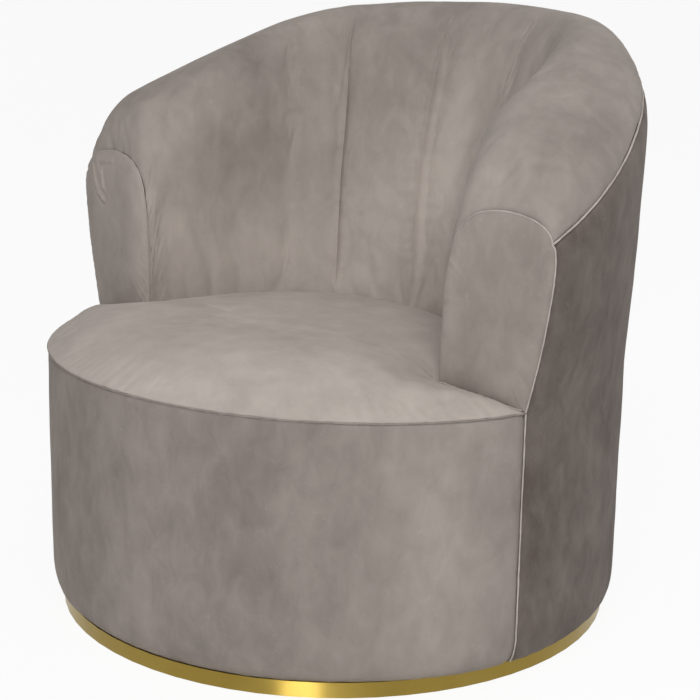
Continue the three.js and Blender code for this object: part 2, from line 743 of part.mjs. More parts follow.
// Ribs of the back, cut to the foam's inner face and to the back panel
function makeRibs() {
  const outside = evenInset(clothThickness + clearance * 2 + hardboard + ribClearance, false);
  const inside = { out: 0, top: foamTop, inside: foamInside + ribClearance, channels: false };
  const halfTurn = plywood / 2 / (drumRadius - crestInsetSide) * THREE.MathUtils.RAD2DEG;
  const foamInner = { out: foamTop + ribClearance, top: foamTop, inside: foamInside, channels: false };
  const crestDrop = foamTop + railDrop + plywood + clearance * 2;
  ribAngles.forEach((angle, index) => {
    const sides = [angle - halfTurn, angle + halfTurn];
    const onRail = sides.map((side) => sectionOnBearing(side, { roll: railRoll }, evenInset(0, false)));
    const top = Math.min(...onRail.map((point) => point.z)) - crestDrop;
    const railMiddle = Math.hypot(onRail[0].x, onRail[0].y);
    const reachOut = (row, inset) => Math.min(...sides.map((side) => {
      const point = sectionOnBearing(side, row, inset);
      return Math.hypot(point.x, point.y);
    }));
    const faces = (row) => sides.map((side) => sectionOnBearing(side, row, inside));
    const reachIn = (row) => Math.max(...faces(row).map((point) => Math.hypot(point.x, point.y)));
    const foot = deckTop + clearance;
    const shoulder = Math.min(top, ...sides.map((side) => pipingHeight(side) - ribClearance * 2));
    const heights = [foot, seamHeight, mix(seamHeight, shoulder, 0.5), shoulder];
    const outline = heights.map((z) => [reachOut({ height: z }, outside), z]);
    outline.push([reachOut({ roll: 0 }, foamInner), shoulder]);
    outline.push([railMiddle + railWidth / 2, top], [railMiddle - railWidth / 2, top]);
    for (const face of [0.72, 0.6, 0.48, 0.36, 0.24, 0.12, 0]) {
      const height = Math.min(...faces({ face }).map((point) => point.z));
      if (height < top - ribClearance) {
        outline.push([reachIn({ face }), height]);
      }
    }
    outline.push([reachIn({ foot }), foot]);
    const [along, across] = [polar(1, angle), polar(1, angle + 90)];
    const place = (offset) => (u, z) => {
      const plan = along.clone().multiplyScalar(u).addScaledVector(across, offset);
      return new THREE.Vector3(plan.x, plan.y, z);
    };
    addMesh(`back_rib_${index + 1}`, board(outline, place(-plywood / 2), place(plywood / 2)), 'plywood');
  });
}

// Top rail, bent round the crest on the ribs
function makeTopRail() {
  const angles = backAngles.filter((angle) => Math.abs(angle) <= railEndAngle);
  const section = (side, drop) => angles.map((angle) => {
    const point = wallPoint(angle, { roll: railRoll }, evenInset(0, false));
    const outward = polar(side * railWidth / 2, (angle / armAngle) * crestAngle);
    return [new THREE.Vector3(point.x + outward.x, point.y + outward.y, point.z - drop)];
  });
  const high = foamTop + railDrop;
  const low = high + plywood;
  const pair = (drop) => section(1, drop).map((column, k) => [...column, ...section(-1, drop)[k]]);
  addMesh('top_rail', shell(pair(high), pair(low)), 'plywood');
}

// Arm fronts: a plywood end board, a foam pad and a velvet panel on each side
function armOutline(rows, inset) {
  return rows.map((row) => {
    const point = wallPoint(armAngle, row, inset);
    return [point.x, point.z];
  });
}

function onArmFace(forward) {
  return (x, z) => new THREE.Vector3(x, armFace(x) - forward, z);
}

function mirrored(geometry) {
  const copy = geometry.clone();
  const place = copy.attributes.position;
  const points = [];
  for (let k = 0; k < place.count; k++) {
    points.push(new THREE.Vector3(-place.getX(k), place.getY(k), place.getZ(k)));
  }
  const order = Array.from(copy.index.array);
  const triangles = [];
  for (let k = 0; k < order.length; k += 3) {
    triangles.push(order.slice(k, k + 3));
  }
  return solid(points, triangles);
}

function addPair(name, geometry, material) {
  addMesh(`${name}_left`, geometry, material);
  addMesh(`${name}_right`, mirrored(geometry), material);
}

const panelRingShares = [0.4, 0.72, 0.9, 1];

function panelRings(outline, middle, forward) {
  return panelRingShares.map((share) => outline.map(([x, z]) => {
    const bulge = mix(forward.edge, forward.middle, Math.sqrt(1 - share ** 3));
    return onArmFace(bulge)(mix(middle[0], x, share), mix(middle[1], z, share));
  }));
}

function makeArmFronts() {
  const face = evenInset(0, false);
  const outerRows = [{ height: seamHeight + panelLift }, ...risingRows.slice(0, -1)];
  const outline = armOutline([...outerRows, ...rollRows, ...faceRows], face);
  outline.at(-1)[1] += panelLift;
  const [across, up] = panelMiddleShares;
  const middle = [mix(innerHalfWidth, drumRadius, across), mix(seamHeight, crestArm, up)];
  const lifted = clearance * 2 + faceEdge;
  const cover = { edge: lifted + clothThickness, middle: faceBulge };
  const under = { edge: lifted, middle: faceBulge - clothThickness };
  const panel = (forward) => panelRings(outline, middle, forward);
  const tip = (forward) => onArmFace(forward)(...middle);
  addPair('arm_panel', lens(panel(cover), tip(cover.middle), panel(under), tip(under.middle)), 'velvet');

  const padFront = { edge: lifted - clearance, middle: under.middle - clearance };
  const padBack = { edge: clearance, middle: clearance };
  const flatBack = [panel(padBack).at(-1)];
  addPair('arm_pad', lens(panel(padFront), tip(padFront.middle), flatBack, tip(clearance)), 'foam');

  const foot = deckTop + clearance;
  const outside = evenInset(clothThickness + clearance * 4 + hardboard, false);
  const inside = {
    out: foamTop + clearance,
    top: foamTop + clearance * 2,
    inside: foamInside + clearance * 2,
    channels: false,
  };
  const outsideRows = [{ height: foot }, { rise: 0 }, { rise: 0.35 }, { rise: 0.9 }];
  const boardOutline = armOutline(outsideRows, outside);
  boardOutline.push(...armOutline([...rollRows, ...faceRows, { foot }], inside));
  const endBoard = board(boardOutline, onArmFace(-clearance), onArmFace(-clearance - plywood));
  addPair('arm_board', endBoard, 'plywood');
}

// Piping in the seams
function makePiping() {
  const proud = evenInset(-pipingRadius - clearance * 2, false);
  const onShoulder = evenInset(-pipingRadius - clearance * 5, false);
  const rim = backAngles.map((angle) => wallPoint(angle, { roll: 0 }, onShoulder));
  addMesh('rim_piping', cordTube(rim, pipingRadius, 60, 5), 'velvet');
  const seam = frontAngles.slice(1, -1).map((angle) => {
    const point = wallPoint(signed(angle), { height: seamHeight }, proud);
    return new THREE.Vector3(point.x, point.y, frontSeam(angle));
  });
  addMesh('seat_piping', cordTube(seam, pipingRadius, 36, 5), 'velvet');
}

makePlinth();
makeSwivel();
makeDrumFrame();
makeDeck();
makeSeat();
makeBoards();
makeRibs();
makeTopRail();
makeBackFoam();
makeCovers();
makeArmFronts();
makePiping();

export default chair;
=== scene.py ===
# %% [markdown]
# # A swivel tub chair, dressed in crushed velvet
# The chair is a padded wall that wraps round a low seat and turns on a slim round plinth. The frame
# of the model already holds every board, spring and screw in place, in metres, +Z up, with the
# sitter looking along -Y. This lesson adds what the eye sees: the sewn velvet skins, their seams
# and piping, the finish of every material, the light and the camera.

# %% Load the frame and keep its box
import json
import math

import bpy
import numpy as np
from mathutils import Matrix, Vector, noise

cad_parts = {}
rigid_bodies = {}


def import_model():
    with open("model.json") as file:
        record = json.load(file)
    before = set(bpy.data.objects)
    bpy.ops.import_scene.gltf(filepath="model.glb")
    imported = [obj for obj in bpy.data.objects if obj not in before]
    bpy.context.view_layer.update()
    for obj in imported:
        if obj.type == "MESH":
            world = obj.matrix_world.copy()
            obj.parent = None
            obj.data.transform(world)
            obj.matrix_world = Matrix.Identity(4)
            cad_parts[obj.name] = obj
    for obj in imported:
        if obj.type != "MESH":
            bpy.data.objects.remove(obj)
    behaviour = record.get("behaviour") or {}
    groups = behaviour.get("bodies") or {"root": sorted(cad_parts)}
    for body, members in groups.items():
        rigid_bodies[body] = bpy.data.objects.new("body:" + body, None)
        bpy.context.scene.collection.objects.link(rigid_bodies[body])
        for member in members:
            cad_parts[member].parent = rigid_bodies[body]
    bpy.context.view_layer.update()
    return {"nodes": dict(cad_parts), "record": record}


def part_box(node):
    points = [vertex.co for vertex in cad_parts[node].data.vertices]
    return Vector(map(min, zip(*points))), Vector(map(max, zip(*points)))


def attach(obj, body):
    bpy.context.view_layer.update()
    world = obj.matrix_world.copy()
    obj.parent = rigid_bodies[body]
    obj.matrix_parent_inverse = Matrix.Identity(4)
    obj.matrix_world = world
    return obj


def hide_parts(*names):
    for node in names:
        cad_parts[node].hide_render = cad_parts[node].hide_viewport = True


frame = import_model()
MM = 0.001
print("pieces in the frame:", len(frame["nodes"]))

# %% [markdown]
# ## Sizes
# The skins have to lie exactly where the frame's covers lie, so their main sizes are read from the
# boxes of the frame's own pieces. The shape between those sizes follows a few named values: how far
# the arms lean out, how the crest falls from the back to the arms, and where the sewn channels run.

# %% Sizes read from the frame
ring_low, ring_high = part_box("base_ring")
band_low, band_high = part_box("front_band")
skin_low, skin_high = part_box("inside_cover")
outer_low, outer_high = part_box("outer_cover")
seat_low, seat_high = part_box("seat_cover")
panel_low, panel_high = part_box("arm_panel_left")

DRUM_RADIUS = -band_low.y
HEM_HEIGHT = band_low.z
HEM_INSET = DRUM_RADIUS - ring_high.x
CREST_BACK = skin_high.z
SEAT_TOP = seat_high.z
WALL_FOOT = skin_low.z
INNER_HALF_WIDTH = panel_low.x
ARM_FACE_INNER = -skin_low.y
SEAM_HEIGHT = 0.328
print("drum radius", round(DRUM_RADIUS, 4), "crest", round(CREST_BACK, 4))

# %% Sizes of the wall that the boxes don't give
SIDE_SWELL, SWELL_SPREAD = 0.006, 28
HEM_RISE = 0.038
SEAM_FRONT_RISE = 0.008
ARM_ANGLE = 103
CREST_ANGLE = 105.2
CREST_INSET_BACK, CREST_INSET_SIDE, CREST_INSET_END = 0.062, 0.096, 0.027
CREST_ARM = 0.600
CREST_END_DROP = 0.058
KNEE, KNEE_SOFT, CREST_SLOPE = 0.47, 0.2, 1.75
PIPING_DROP_BACK, PIPING_DROP_ARM = 0.045, 0.087
SHOULDER_INSET, SHOULDER_DROP = 0.008, 0.040
FLARE_BACK, FLARE_ARM = 0.003, 0.034
FLARE_BACK_REACH, FLARE_ARM_REACH = 0.420, 0.255
INNER_DEPTH = DRUM_RADIUS - 0.113
ARM_FACE_OUTER = 0.085
SEAT_EDGE_INSIDE = 0.343
SEAT_CENTRE = -0.140
CROWN_REACH = 0.140
CROWN_POWER = 2.2
CLOTH = 0.0022


# %% [markdown]
# ## The form of the wall as a formula
# A tub chair's wall has no flat part that a box could start from: it leans back behind the sitter,
# stands upright at the arms, and rolls over a rim that falls all the way to the front. It could be
# sculpted by hand, but then it would never quite meet the boards inside. So each skin starts as
# Blender's grid primitive, and a formula carries its points on to the wall. The angle is counted
# from the middle of the back, positive towards the sitter's left.

# %% Small curves that the formulas share
def ease(value, low, high):
    t = np.clip((value - low) / (high - low), 0, 1)
    return t * t * (3 - 2 * t)


def soft_ramp(t, softness):
    return (t + np.hypot(t, softness)) / 2


def bezier(t, a, b, c, d):
    u = 1 - t
    return u ** 3 * a + 3 * u * u * t * b + 3 * u * t * t * c + t ** 3 * d


def polar(radius, angle):
    turn = np.radians(angle)
    return np.stack([radius * np.sin(turn), radius * np.cos(turn)], axis=-1)


# %% Outside of the wall
def drum_radius(angle):
    away = (np.abs(angle) - ARM_ANGLE) / SWELL_SPREAD
    return DRUM_RADIUS + SIDE_SWELL * np.exp(-away * away)


def hem_cut(z):
    low = np.clip((HEM_HEIGHT + HEM_RISE - z) / HEM_RISE, 0, 1)
    return HEM_INSET * (1 - np.sqrt(1 - low * low))


def rim_fall(angle):
    t = np.abs(angle) / ARM_ANGLE - KNEE
    fall = soft_ramp(t, KNEE_SOFT) - soft_ramp(-KNEE, KNEE_SOFT)
    return (CREST_BACK - CREST_ARM) * CREST_SLOPE * fall


def crest_height(angle):
    at_end = np.clip((np.abs(angle) / ARM_ANGLE - 0.92) / 0.08, 0, 1)
    return CREST_BACK - rim_fall(angle) - CREST_END_DROP * (1 - np.sqrt(1 - at_end * at_end))


def piping_height(angle):
    to_arm = 3.57 * soft_ramp(np.abs(angle) / ARM_ANGLE - 0.72, 0.04)
    drop = PIPING_DROP_BACK + (PIPING_DROP_ARM - PIPING_DROP_BACK) * to_arm
    return CREST_BACK - rim_fall(angle) - drop


def flare(angle, z):
    side = ease(np.abs(angle) / ARM_ANGLE, 0.4, 0.97)
    reach = FLARE_BACK_REACH + (FLARE_ARM_REACH - FLARE_BACK_REACH) * side
    left = 1 - np.clip((z - SEAM_HEIGHT) / reach, 0, 1)
    near = np.clip(1 - (piping_height(angle) - z) / SHOULDER_DROP, 0, 1)
    shoulder = SHOULDER_INSET * (1 - np.sqrt(1 - near * near))
    return (FLARE_BACK + (FLARE_ARM - FLARE_BACK) * side) * (1 - left * left) - shoulder


def crest_plan(angle):
    share = np.abs(angle) / ARM_ANGLE
    inset = CREST_INSET_BACK + (CREST_INSET_SIDE - CREST_INSET_BACK) * ease(share, 0.25, 0.72)
    inset = inset + (CREST_INSET_END - CREST_INSET_SIDE) * ease(share, 0.74, 1)
    return polar(DRUM_RADIUS - inset, angle / ARM_ANGLE * CREST_ANGLE)


def outer_plan(angle, z):
    place = polar(drum_radius(angle) - hem_cut(z), angle)
    lean = np.where(np.abs(angle) > ARM_ANGLE, 0, flare(angle, z))
    return place + polar(lean, angle / ARM_ANGLE * 90)


# %% Inside of the wall, and the flat plane that the arms end on
def inner_plan(angle):
    turn = np.radians(angle / ARM_ANGLE * 90)
    return np.stack([INNER_HALF_WIDTH * np.sin(turn), INNER_DEPTH * np.cos(turn) - ARM_FACE_INNER], axis=-1)


def arm_face(x):
    slope = (ARM_FACE_INNER - ARM_FACE_OUTER) / (DRUM_RADIUS - INNER_HALF_WIDTH)
    return -ARM_FACE_OUTER - (DRUM_RADIUS - np.abs(x)) * slope


def to_arm_plane(points, end_points, share):
    weight = 1 - ease(np.abs(1 - share), 0, 0.2)
    points[..., 1] += weight * (arm_face(end_points[..., 0]) - end_points[..., 1])
    return points


def outside_points(angle, z):
    """Points of the outside skin, for arrays of angles and heights."""
    plan = outer_plan(angle, z)
    end = outer_plan(np.sign(angle) * ARM_ANGLE, z)
    points = np.concatenate([plan, z[..., None]], axis=-1)
    return to_arm_plane(points, end, np.abs(angle) / ARM_ANGLE)


# %% [markdown]
# ## The profile of the padded wall
# Seen in section, the inside skin starts at the piping on the outside, rolls over the crest, and
# runs down the sitter's side behind the seat. The roll is a quarter of an oval and the inside face
# is one Bezier curve, as an upholsterer's foam would bend.

# %% One section of the padded wall
ROLL_STEPS = 22
FACE_STEPS = 60
ROLL_TURNS = np.linspace(0, math.pi / 2, ROLL_STEPS, endpoint=False)
FACE_SHARES = np.linspace(1, 0, FACE_STEPS)


def wall_section(angle):
    """Points of one section, from the piping over the crest to the foot behind the seat."""
    crest, piping = crest_height(angle), piping_height(angle)
    top = crest_plan(angle)
    edge = outer_plan(np.array(angle, float), np.array(piping))
    out = np.cos(ROLL_TURNS)[:, None]
    roll = np.column_stack([top + (edge - top) * out, piping + (crest - piping) * np.sin(ROLL_TURNS)])
    start = inner_plan(angle)
    side = ease(abs(angle) / ARM_ANGLE, 0.25, 0.9)
    lean = bezier(FACE_SHARES, 0, 0.32 + (0.03 - 0.32) * side, 0.74 + (0.04 - 0.74) * side, 1)
    knee = SEAT_EDGE_INSIDE + (crest - SEAT_EDGE_INSIDE) * (0.44 + 0.31 * side)
    height = bezier(FACE_SHARES, SEAT_EDGE_INSIDE, knee, crest, crest)
    face = np.column_stack([start + (top - start) * lean[:, None], height])
    foot = np.array([[start[0], start[1], WALL_FOOT]])
    return np.vstack([roll, face, foot])


def wall_points(angle):
    points = wall_section(angle)
    end = wall_section(math.copysign(ARM_ANGLE, angle))
    return to_arm_plane(points, end, np.full(len(points), abs(angle) / ARM_ANGLE))


# %% [markdown]
# ## From a grid to a skin
# A grid primitive is a flat sheet of quads. Its points are moved on to the form, its UV map is set
# to the real lengths along the cloth, and Solidify gives it the thickness of velvet and wadding.
# Small errors of the tailor are added on the way: puckers at the seams and slow waves where the
# wadding is uneven. They are moves along the surface's own normal, so they never tear it.

# %% Grid helpers
def grid_normals(points):
    along = np.gradient(points, axis=0)
    across = np.gradient(points, axis=1)
    normals = np.cross(along, across)
    return normals / np.maximum(np.linalg.norm(normals, axis=-1, keepdims=True), 1e-12)


def lengths(points, axis):
    steps = np.linalg.norm(np.diff(points, axis=axis), axis=-1)
    pad = [(0, 0), (0, 0)]
    pad[axis] = (1, 0)
    return np.cumsum(np.pad(steps, pad), axis=axis)


def waves(points, size, seed):
    """Smooth noise from -1 to 1 with bumps of about the given size."""
    shift = Vector((seed * 7.3, seed * 3.1, seed * 5.7))
    flat = points.reshape(-1, 3)
    values = [noise.noise(Vector(p) / size + shift) for p in flat]
    return np.array(values).reshape(points.shape[:-1])


def puckers(along, away, pitch, reach, seed):
    """Short folds square to a seam: they are deepest at the seam and fade over their reach."""
    values = [noise.noise(Vector((s / pitch, d / (reach * 4), seed))) for s, d in zip(along.flat, away.flat)]
    return np.array(values).reshape(along.shape) * np.exp(-np.maximum(away, 0) / reach)


def grid_object(name, points, closed=False):
    """Carries a grid primitive's points on to the array of points, and sets real lengths as UVs."""
    columns, rows = points.shape[0] - 1, points.shape[1] - 1
    bpy.ops.object.select_all(action="DESELECT")
    bpy.ops.mesh.primitive_grid_add(x_subdivisions=columns, y_subdivisions=rows, size=1)
    piece = bpy.context.object
    piece.name = name
    mesh = piece.data
    mesh.name = name
    flat = np.empty(len(mesh.vertices) * 3)
    mesh.vertices.foreach_get("co", flat)
    flat = flat.reshape(-1, 3)
    i = np.rint((flat[:, 0] + 0.5) * columns).astype(int)
    j = np.rint((flat[:, 1] + 0.5) * rows).astype(int)
    mesh.vertices.foreach_set("co", points[i, j].ravel())
    wide, high = lengths(points, 0), lengths(points, 1)
    uv = np.stack([wide[:, rows // 2][:, None] + 0 * high, high], axis=-1)[i, j]
    corner = np.empty(len(mesh.loops), int)
    mesh.loops.foreach_get("vertex_index", corner)
    mesh.uv_layers[0].data.foreach_set("uv", uv[corner].ravel())
    mesh.update()
    if closed:
        bpy.ops.object.mode_set(mode="EDIT")
        bpy.ops.mesh.select_all(action="SELECT")
        bpy.ops.mesh.remove_doubles(threshold=0.05 * MM)
        bpy.ops.object.mode_set(mode="OBJECT")
    return piece


def face_outwards(piece, centre_check):
    """Turns a skin's faces over if the face nearest to a point looks away from it."""
    mesh = piece.data
    nearest = min(mesh.polygons, key=lambda face: (face.center - centre_check).length_squared)
    if nearest.normal.dot(centre_check - nearest.center) < 0:
        mesh.flip_normals()


def add_modifier(piece, kind, **settings):
    modifier = piece.modifiers.new(kind.title(), kind)
    for key, value in settings.items():
        setattr(modifier, key, value)
    bpy.context.view_layer.objects.active = piece
    bpy.ops.object.modifier_apply(modifier=modifier.name)


def finish_cloth(piece, thickness=CLOTH):
    add_modifier(piece, "SOLIDIFY", thickness=thickness, offset=-1, use_even_offset=False)
    piece.data.polygons.foreach_set("use_smooth", [True] * len(piece.data.polygons))
    bpy.ops.object.select_all(action="DESELECT")
    piece.select_set(True)
    bpy.ops.object.shade_smooth_by_angle(angle=math.radians(50))


# %% [markdown]
# ## Small creases, the lie of the pile, and painted light and shade
# A crease is a short valley with a low ridge beside it, drawn along a few places on the cloth.
# Velvet also looks lighter or darker by the way its pile lies. Every skin gets an attribute for
# this: a level for the whole panel and soft patches on it, which the velvet material reads. These
# levels and patches are painted light and shade along with the pile's own tone: panels and places
# that face the lamps are set lighter, and those turned away from them are set darker.

# %% Crease helpers, and the nap that carries painted light and shade
def crease(points, stroke, width, depth):
    """Moves for a fold along a stroke of places: a valley, with a ridge on either side."""
    stroke = np.array(stroke)
    move = np.zeros(points.shape[:-1])
    for start, end in zip(stroke[:-1], stroke[1:]):
        step = end - start
        share = np.clip((points - start) @ step / (step @ step), 0, 1)
        away = np.linalg.norm(points - start - share[..., None] * step, axis=-1) / width
        fold = np.exp(-away ** 2) - 0.45 * np.exp(-(away - 1.9) ** 2)
        move = np.where(np.abs(fold) > np.abs(move), fold, move)
    return -depth * move


def places_of(piece):
    flat = np.empty(len(piece.data.vertices) * 3)
    piece.data.vertices.foreach_get("co", flat)
    return flat.reshape(-1, 3)


def set_nap_and_painted_shading(piece, level, patches=()):
    """Each patch is a place, its reach along x, y and z, and how much lighter it is; level and patches are painted
    light and shade, with some of the pile's tone.
    """
    places = places_of(piece)
    pile_and_painted_shading = np.full(len(places), float(level))
    for centre, reach, lighter in patches:
        away = (places - np.array(centre)) / np.array(reach)
        pile_and_painted_shading += lighter * np.exp(-(away ** 2).sum(axis=1))
    layer = piece.data.attributes.new("nap_and_painted_shading", "FLOAT", "POINT")
    layer.data.foreach_set("value", pile_and_painted_shading)


# %% [markdown]
# ## Letting the cloth settle
# A formula gives a form that is too perfect for a padded piece. So each padded skin goes through a
# short cloth simulation: it is held along its seams and channels, gets a little more cloth than its
# form needs, and is blown up from behind like foam pressing into a cover. It swells between the
# seams and gathers at them. How far a point may move is capped, so the skin keeps its place.

# %% Cloth simulation
SETTLE_FRAMES = 12


def settle(piece, held, cap, pressure=4.0, extra_cloth=0.007):
    """Held is 1 where the skin is sewn down and 0 where it is free."""
    before = places_of(piece)
    group = piece.vertex_groups.new(name="held")
    for index, weight in enumerate(np.clip(held, 0, 1)):
        group.add([index], float(weight), "REPLACE")
    modifier = piece.modifiers.new("Cloth", "CLOTH")
    cloth = modifier.settings
    cloth.quality = 4
    cloth.mass = 0.3
    cloth.tension_stiffness = cloth.compression_stiffness = 15
    cloth.shear_stiffness = 5
    cloth.bending_stiffness = 0.6
    cloth.tension_damping = cloth.compression_damping = cloth.shear_damping = 12
    cloth.air_damping = 4
    cloth.vertex_group_mass = "held"
    cloth.pin_stiffness = 1.0
    cloth.shrink_min = -extra_cloth
    cloth.use_pressure = True
    cloth.uniform_pressure_force = pressure
    cloth.effector_weights.gravity = 0
    modifier.collision_settings.use_collision = False
    modifier.point_cache.frame_start, modifier.point_cache.frame_end = 1, SETTLE_FRAMES
    for step in range(1, SETTLE_FRAMES + 1):
        bpy.context.scene.frame_set(step)
    bpy.context.view_layer.objects.active = piece
    bpy.ops.object.modifier_apply(modifier=modifier.name)
    move = places_of(piece) - before
    size = np.linalg.norm(move, axis=1)
    limit = cap * (1 - np.clip(held, 0, 1) * 0.9)
    kept = move * (limit * np.tanh(size / limit) / np.maximum(size, 1e-9))[:, None]
    piece.data.vertices.foreach_set("co", (before + kept).ravel())
    piece.data.update()
    piece.vertex_groups.clear()
    bpy.context.scene.frame_set(1)
    print(piece.name, "moved at most", round(float(size.max()), 4), "kept", round(float(np.linalg.norm(kept, axis=1).max()), 4))


def on_grid(values):
    """One value for each vertex of a grid primitive, from an array of columns and rows."""
    return np.asarray(values).T.ravel()


# %% [markdown]
# ## Inside cover
# The inside of the back is one large piece of velvet, drawn in along four sewn channels. A channel
# in real cloth is a tuck: the cloth swells softly towards the line, drops over a crisp lip, and
# comes back slowly on the other side. The columns of the grid are bent to follow the channels, and
# stand closer together there, so that a lip can be crisp without a fine grid everywhere.

# %% Channels of the inside cover
CHANNEL_HOMES = np.array([-52.0, -36.0, -9.0, 18.0, 45.0])
CHANNEL_FOOT = np.array([-50.0, -33.0, -3.0, 21.0, 42.0])
CHANNEL_MIDDLE = np.array([-52.0, -35.0, -8.5, 18.0, 44.0])
CHANNEL_TOP = np.array([-54.0, -37.0, -9.5, 18.0, 46.0])
CHANNEL_START = np.array([0.55, 0.10, 0.02, 0.05, 0.10])
CHANNEL_END = np.array([0.98, 0.84, 0.95, 0.68, 0.66])
CHANNEL_DEPTH = np.array([0.0, 0.010, 0.011, 0.010, 0.010])
LIP_SHARE = 0.5
SWELL_SIDE, LIP_SIDE, SLOW_SIDE = 0.020, 0.0035, 0.045
ARM_BULGE, BULGE_ANGLE, BULGE_HEIGHT = 0.018, 72, 0.605
BULGE_WIDE, BULGE_HIGH = 22, 0.062
ARM_CREASES = [
    ([(0.222, 0.075, 0.640), (0.240, 0.080, 0.682), (0.2505, 0.1187, 0.708)], 0.004, 0.0032),
    ([(0.252, 0.070, 0.690), (0.262, 0.108, 0.704)], 0.003, 0.0022),
    ([(0.297, -0.080, 0.572), (0.318, -0.070, 0.600)], 0.0025, 0.0014),
    ([(0.340, -0.062, 0.608), (0.362, -0.046, 0.611)], 0.0025, 0.0012),
    ([(-0.366, -0.074, 0.560), (-0.356, -0.060, 0.566)], 0.003, 0.0018),
]


def channel_angles(height_share):
    """Where the channels run at a share of the wall's height."""
    h = np.clip(height_share, 0, 1)
    lower = CHANNEL_FOOT + (CHANNEL_MIDDLE - CHANNEL_FOOT) * ease(h, 0, 0.5)
    return lower + (CHANNEL_TOP - CHANNEL_MIDDLE) * ease(h, 0.5, 1)


def column_homes():
    """Angles of the grid's columns, fine at the channels and coarse between them."""
    fine = np.linspace(-ARM_ANGLE, ARM_ANGLE, 4001)
    near = sum(np.exp(-((fine - home) / 2.2) ** 2) for home in CHANNEL_HOMES)
    ends = np.exp(-((np.abs(fine) - ARM_ANGLE) / 6) ** 2)
    density = np.cumsum(1 + 3.0 * near + 1.2 * ends)
    shares = np.linspace(density[0], density[-1], 361)
    return np.interp(shares, density, fine)


# %% Points of the inside cover
WALL_ROWS = 140
# Patches of painted light and shade on the inside cover, with some of the pile's tone: lighter over the lower and
# middle back, darker on the crest and on the outer rolls of both arms.
INSIDE_PATCHES_OF_PAINTED_SHADING = [
    ((-0.17, 0.08, 0.40), (0.16, 0.16, 0.09), 0.25),
    ((0.00, 0.22, 0.54), (0.05, 0.10, 0.16), 0.33),
    ((-0.09, 0.20, 0.48), (0.04, 0.08, 0.12), 0.12),
    ((-0.06, 0.26, 0.69), (0.05, 0.06, 0.06), -0.07),
    ((-0.25, -0.06, 0.45), (0.05, 0.04, 0.12), 0.12),
    ((-0.25, 0.06, 0.68), (0.10, 0.10, 0.05), -0.10),
    ((0.36, 0.02, 0.60), (0.05, 0.12, 0.09), -0.14),
    ((0.31, -0.06, 0.60), (0.05, 0.08, 0.06), 0.05),
    ((-0.36, 0.02, 0.60), (0.05, 0.12, 0.09), -0.10),
]


def inside_cover_points():
    homes = column_homes()
    anchors = np.concatenate([[-ARM_ANGLE, -75], CHANNEL_HOMES, [75, ARM_ANGLE]])
    table_angles = np.linspace(-ARM_ANGLE, ARM_ANGLE, 207)
    shares = np.linspace(0, 1, WALL_ROWS + 1)
    table = []
    for angle in table_angles:
        section = wall_points(angle)
        along = np.concatenate([[0], np.cumsum(np.linalg.norm(np.diff(section, axis=0), axis=1))])
        table.append([[np.interp(s * along[-1], along, section[:, k]) for k in range(3)] for s in shares])
    table = np.array(table)
    points = np.empty((len(homes), len(shares), 3))
    for row, share in enumerate(shares):
        height = 1 - np.clip((share - 0.14) / 0.72, 0, 1)
        bent = channel_angles(height)
        places = np.concatenate([[-ARM_ANGLE, -75], bent, [75, ARM_ANGLE]])
        angles = np.interp(homes, anchors, places)
        for k in range(3):
            points[:, row, k] = np.interp(angles, table_angles, table[:, row, k])
    return homes, points


homes, inside = inside_cover_points()
normals = grid_normals(inside)
if normals[len(homes) // 2, WALL_ROWS // 2, 1] > 0:
    normals = -normals
around, down = lengths(inside, 0), lengths(inside, 1)
height_share = (inside[..., 2] - SEAT_EDGE_INSIDE) / (crest_height(homes)[:, None] - SEAT_EDGE_INSIDE)
on_face = ease(down, 0.10, 0.16)

# %% Folds, puckers and waves of the inside cover
shift = np.zeros(inside.shape[:2])
for index, home in enumerate(CHANNEL_HOMES):
    column = int(np.argmin(np.abs(homes - home)))
    away = around - around[column]
    swell = LIP_SHARE * np.exp(np.minimum(away, 0) / SWELL_SIDE)
    past = np.maximum(away, 0)
    drop = (LIP_SHARE - 1) * np.exp(-past / SLOW_SIDE) + np.exp(-past / LIP_SIDE)
    window = ease(height_share, CHANNEL_START[index] - 0.08, CHANNEL_START[index] + 0.1)
    window = window * (1 - ease(height_share, CHANNEL_END[index] - 0.22, CHANNEL_END[index] + 0.06)) * on_face
    shift += CHANNEL_DEPTH[index] * window * np.where(away > 0, drop, swell)
    shift += 0.0012 * window * puckers(down, np.abs(away), 0.011, 0.020, 11 + index)

bulge = np.exp(-((np.abs(homes) - BULGE_ANGLE) / BULGE_WIDE) ** 2)[:, None]
shift += ARM_BULGE * bulge * np.exp(-((inside[..., 2] - BULGE_HEIGHT) / BULGE_HIGH) ** 2) * on_face
for stroke, width, depth in ARM_CREASES:
    shift += crease(inside, stroke, width, depth)

to_rim = down
to_arm = np.minimum(around, around[-1] - around)
shift += 0.0016 * waves(inside, 0.09, 1) + 0.0007 * waves(inside, 0.03, 2)
shift += 0.0014 * puckers(around, to_rim, 0.009, 0.016, 3)
shift += 0.0018 * puckers(down, to_arm, 0.012, 0.020, 4)
shift -= 0.0016 * np.exp(-to_rim / 0.003) + 0.0016 * np.exp(-to_arm / 0.003)
inside = inside + normals * shift[..., None]

inside_cover = grid_object("velvet_inside_back", inside)
face_outwards(inside_cover, Vector((0, -0.1, 0.55)))
sewn = np.exp(-to_rim / 0.012) + np.exp(-to_arm / 0.012) + np.exp(-(down[:, -1:] - down) / 0.03)
for home, start, end, depth in zip(CHANNEL_HOMES, CHANNEL_START, CHANNEL_END, CHANNEL_DEPTH):
    if depth > 0:
        column = int(np.argmin(np.abs(homes - home)))
        run = ease(height_share, start - 0.05, start + 0.1) * (1 - ease(height_share, end - 0.2, end))
        sewn += np.exp(-np.abs(around - around[column]) / 0.006) * run
settle(inside_cover, on_grid(sewn), cap=0.006)
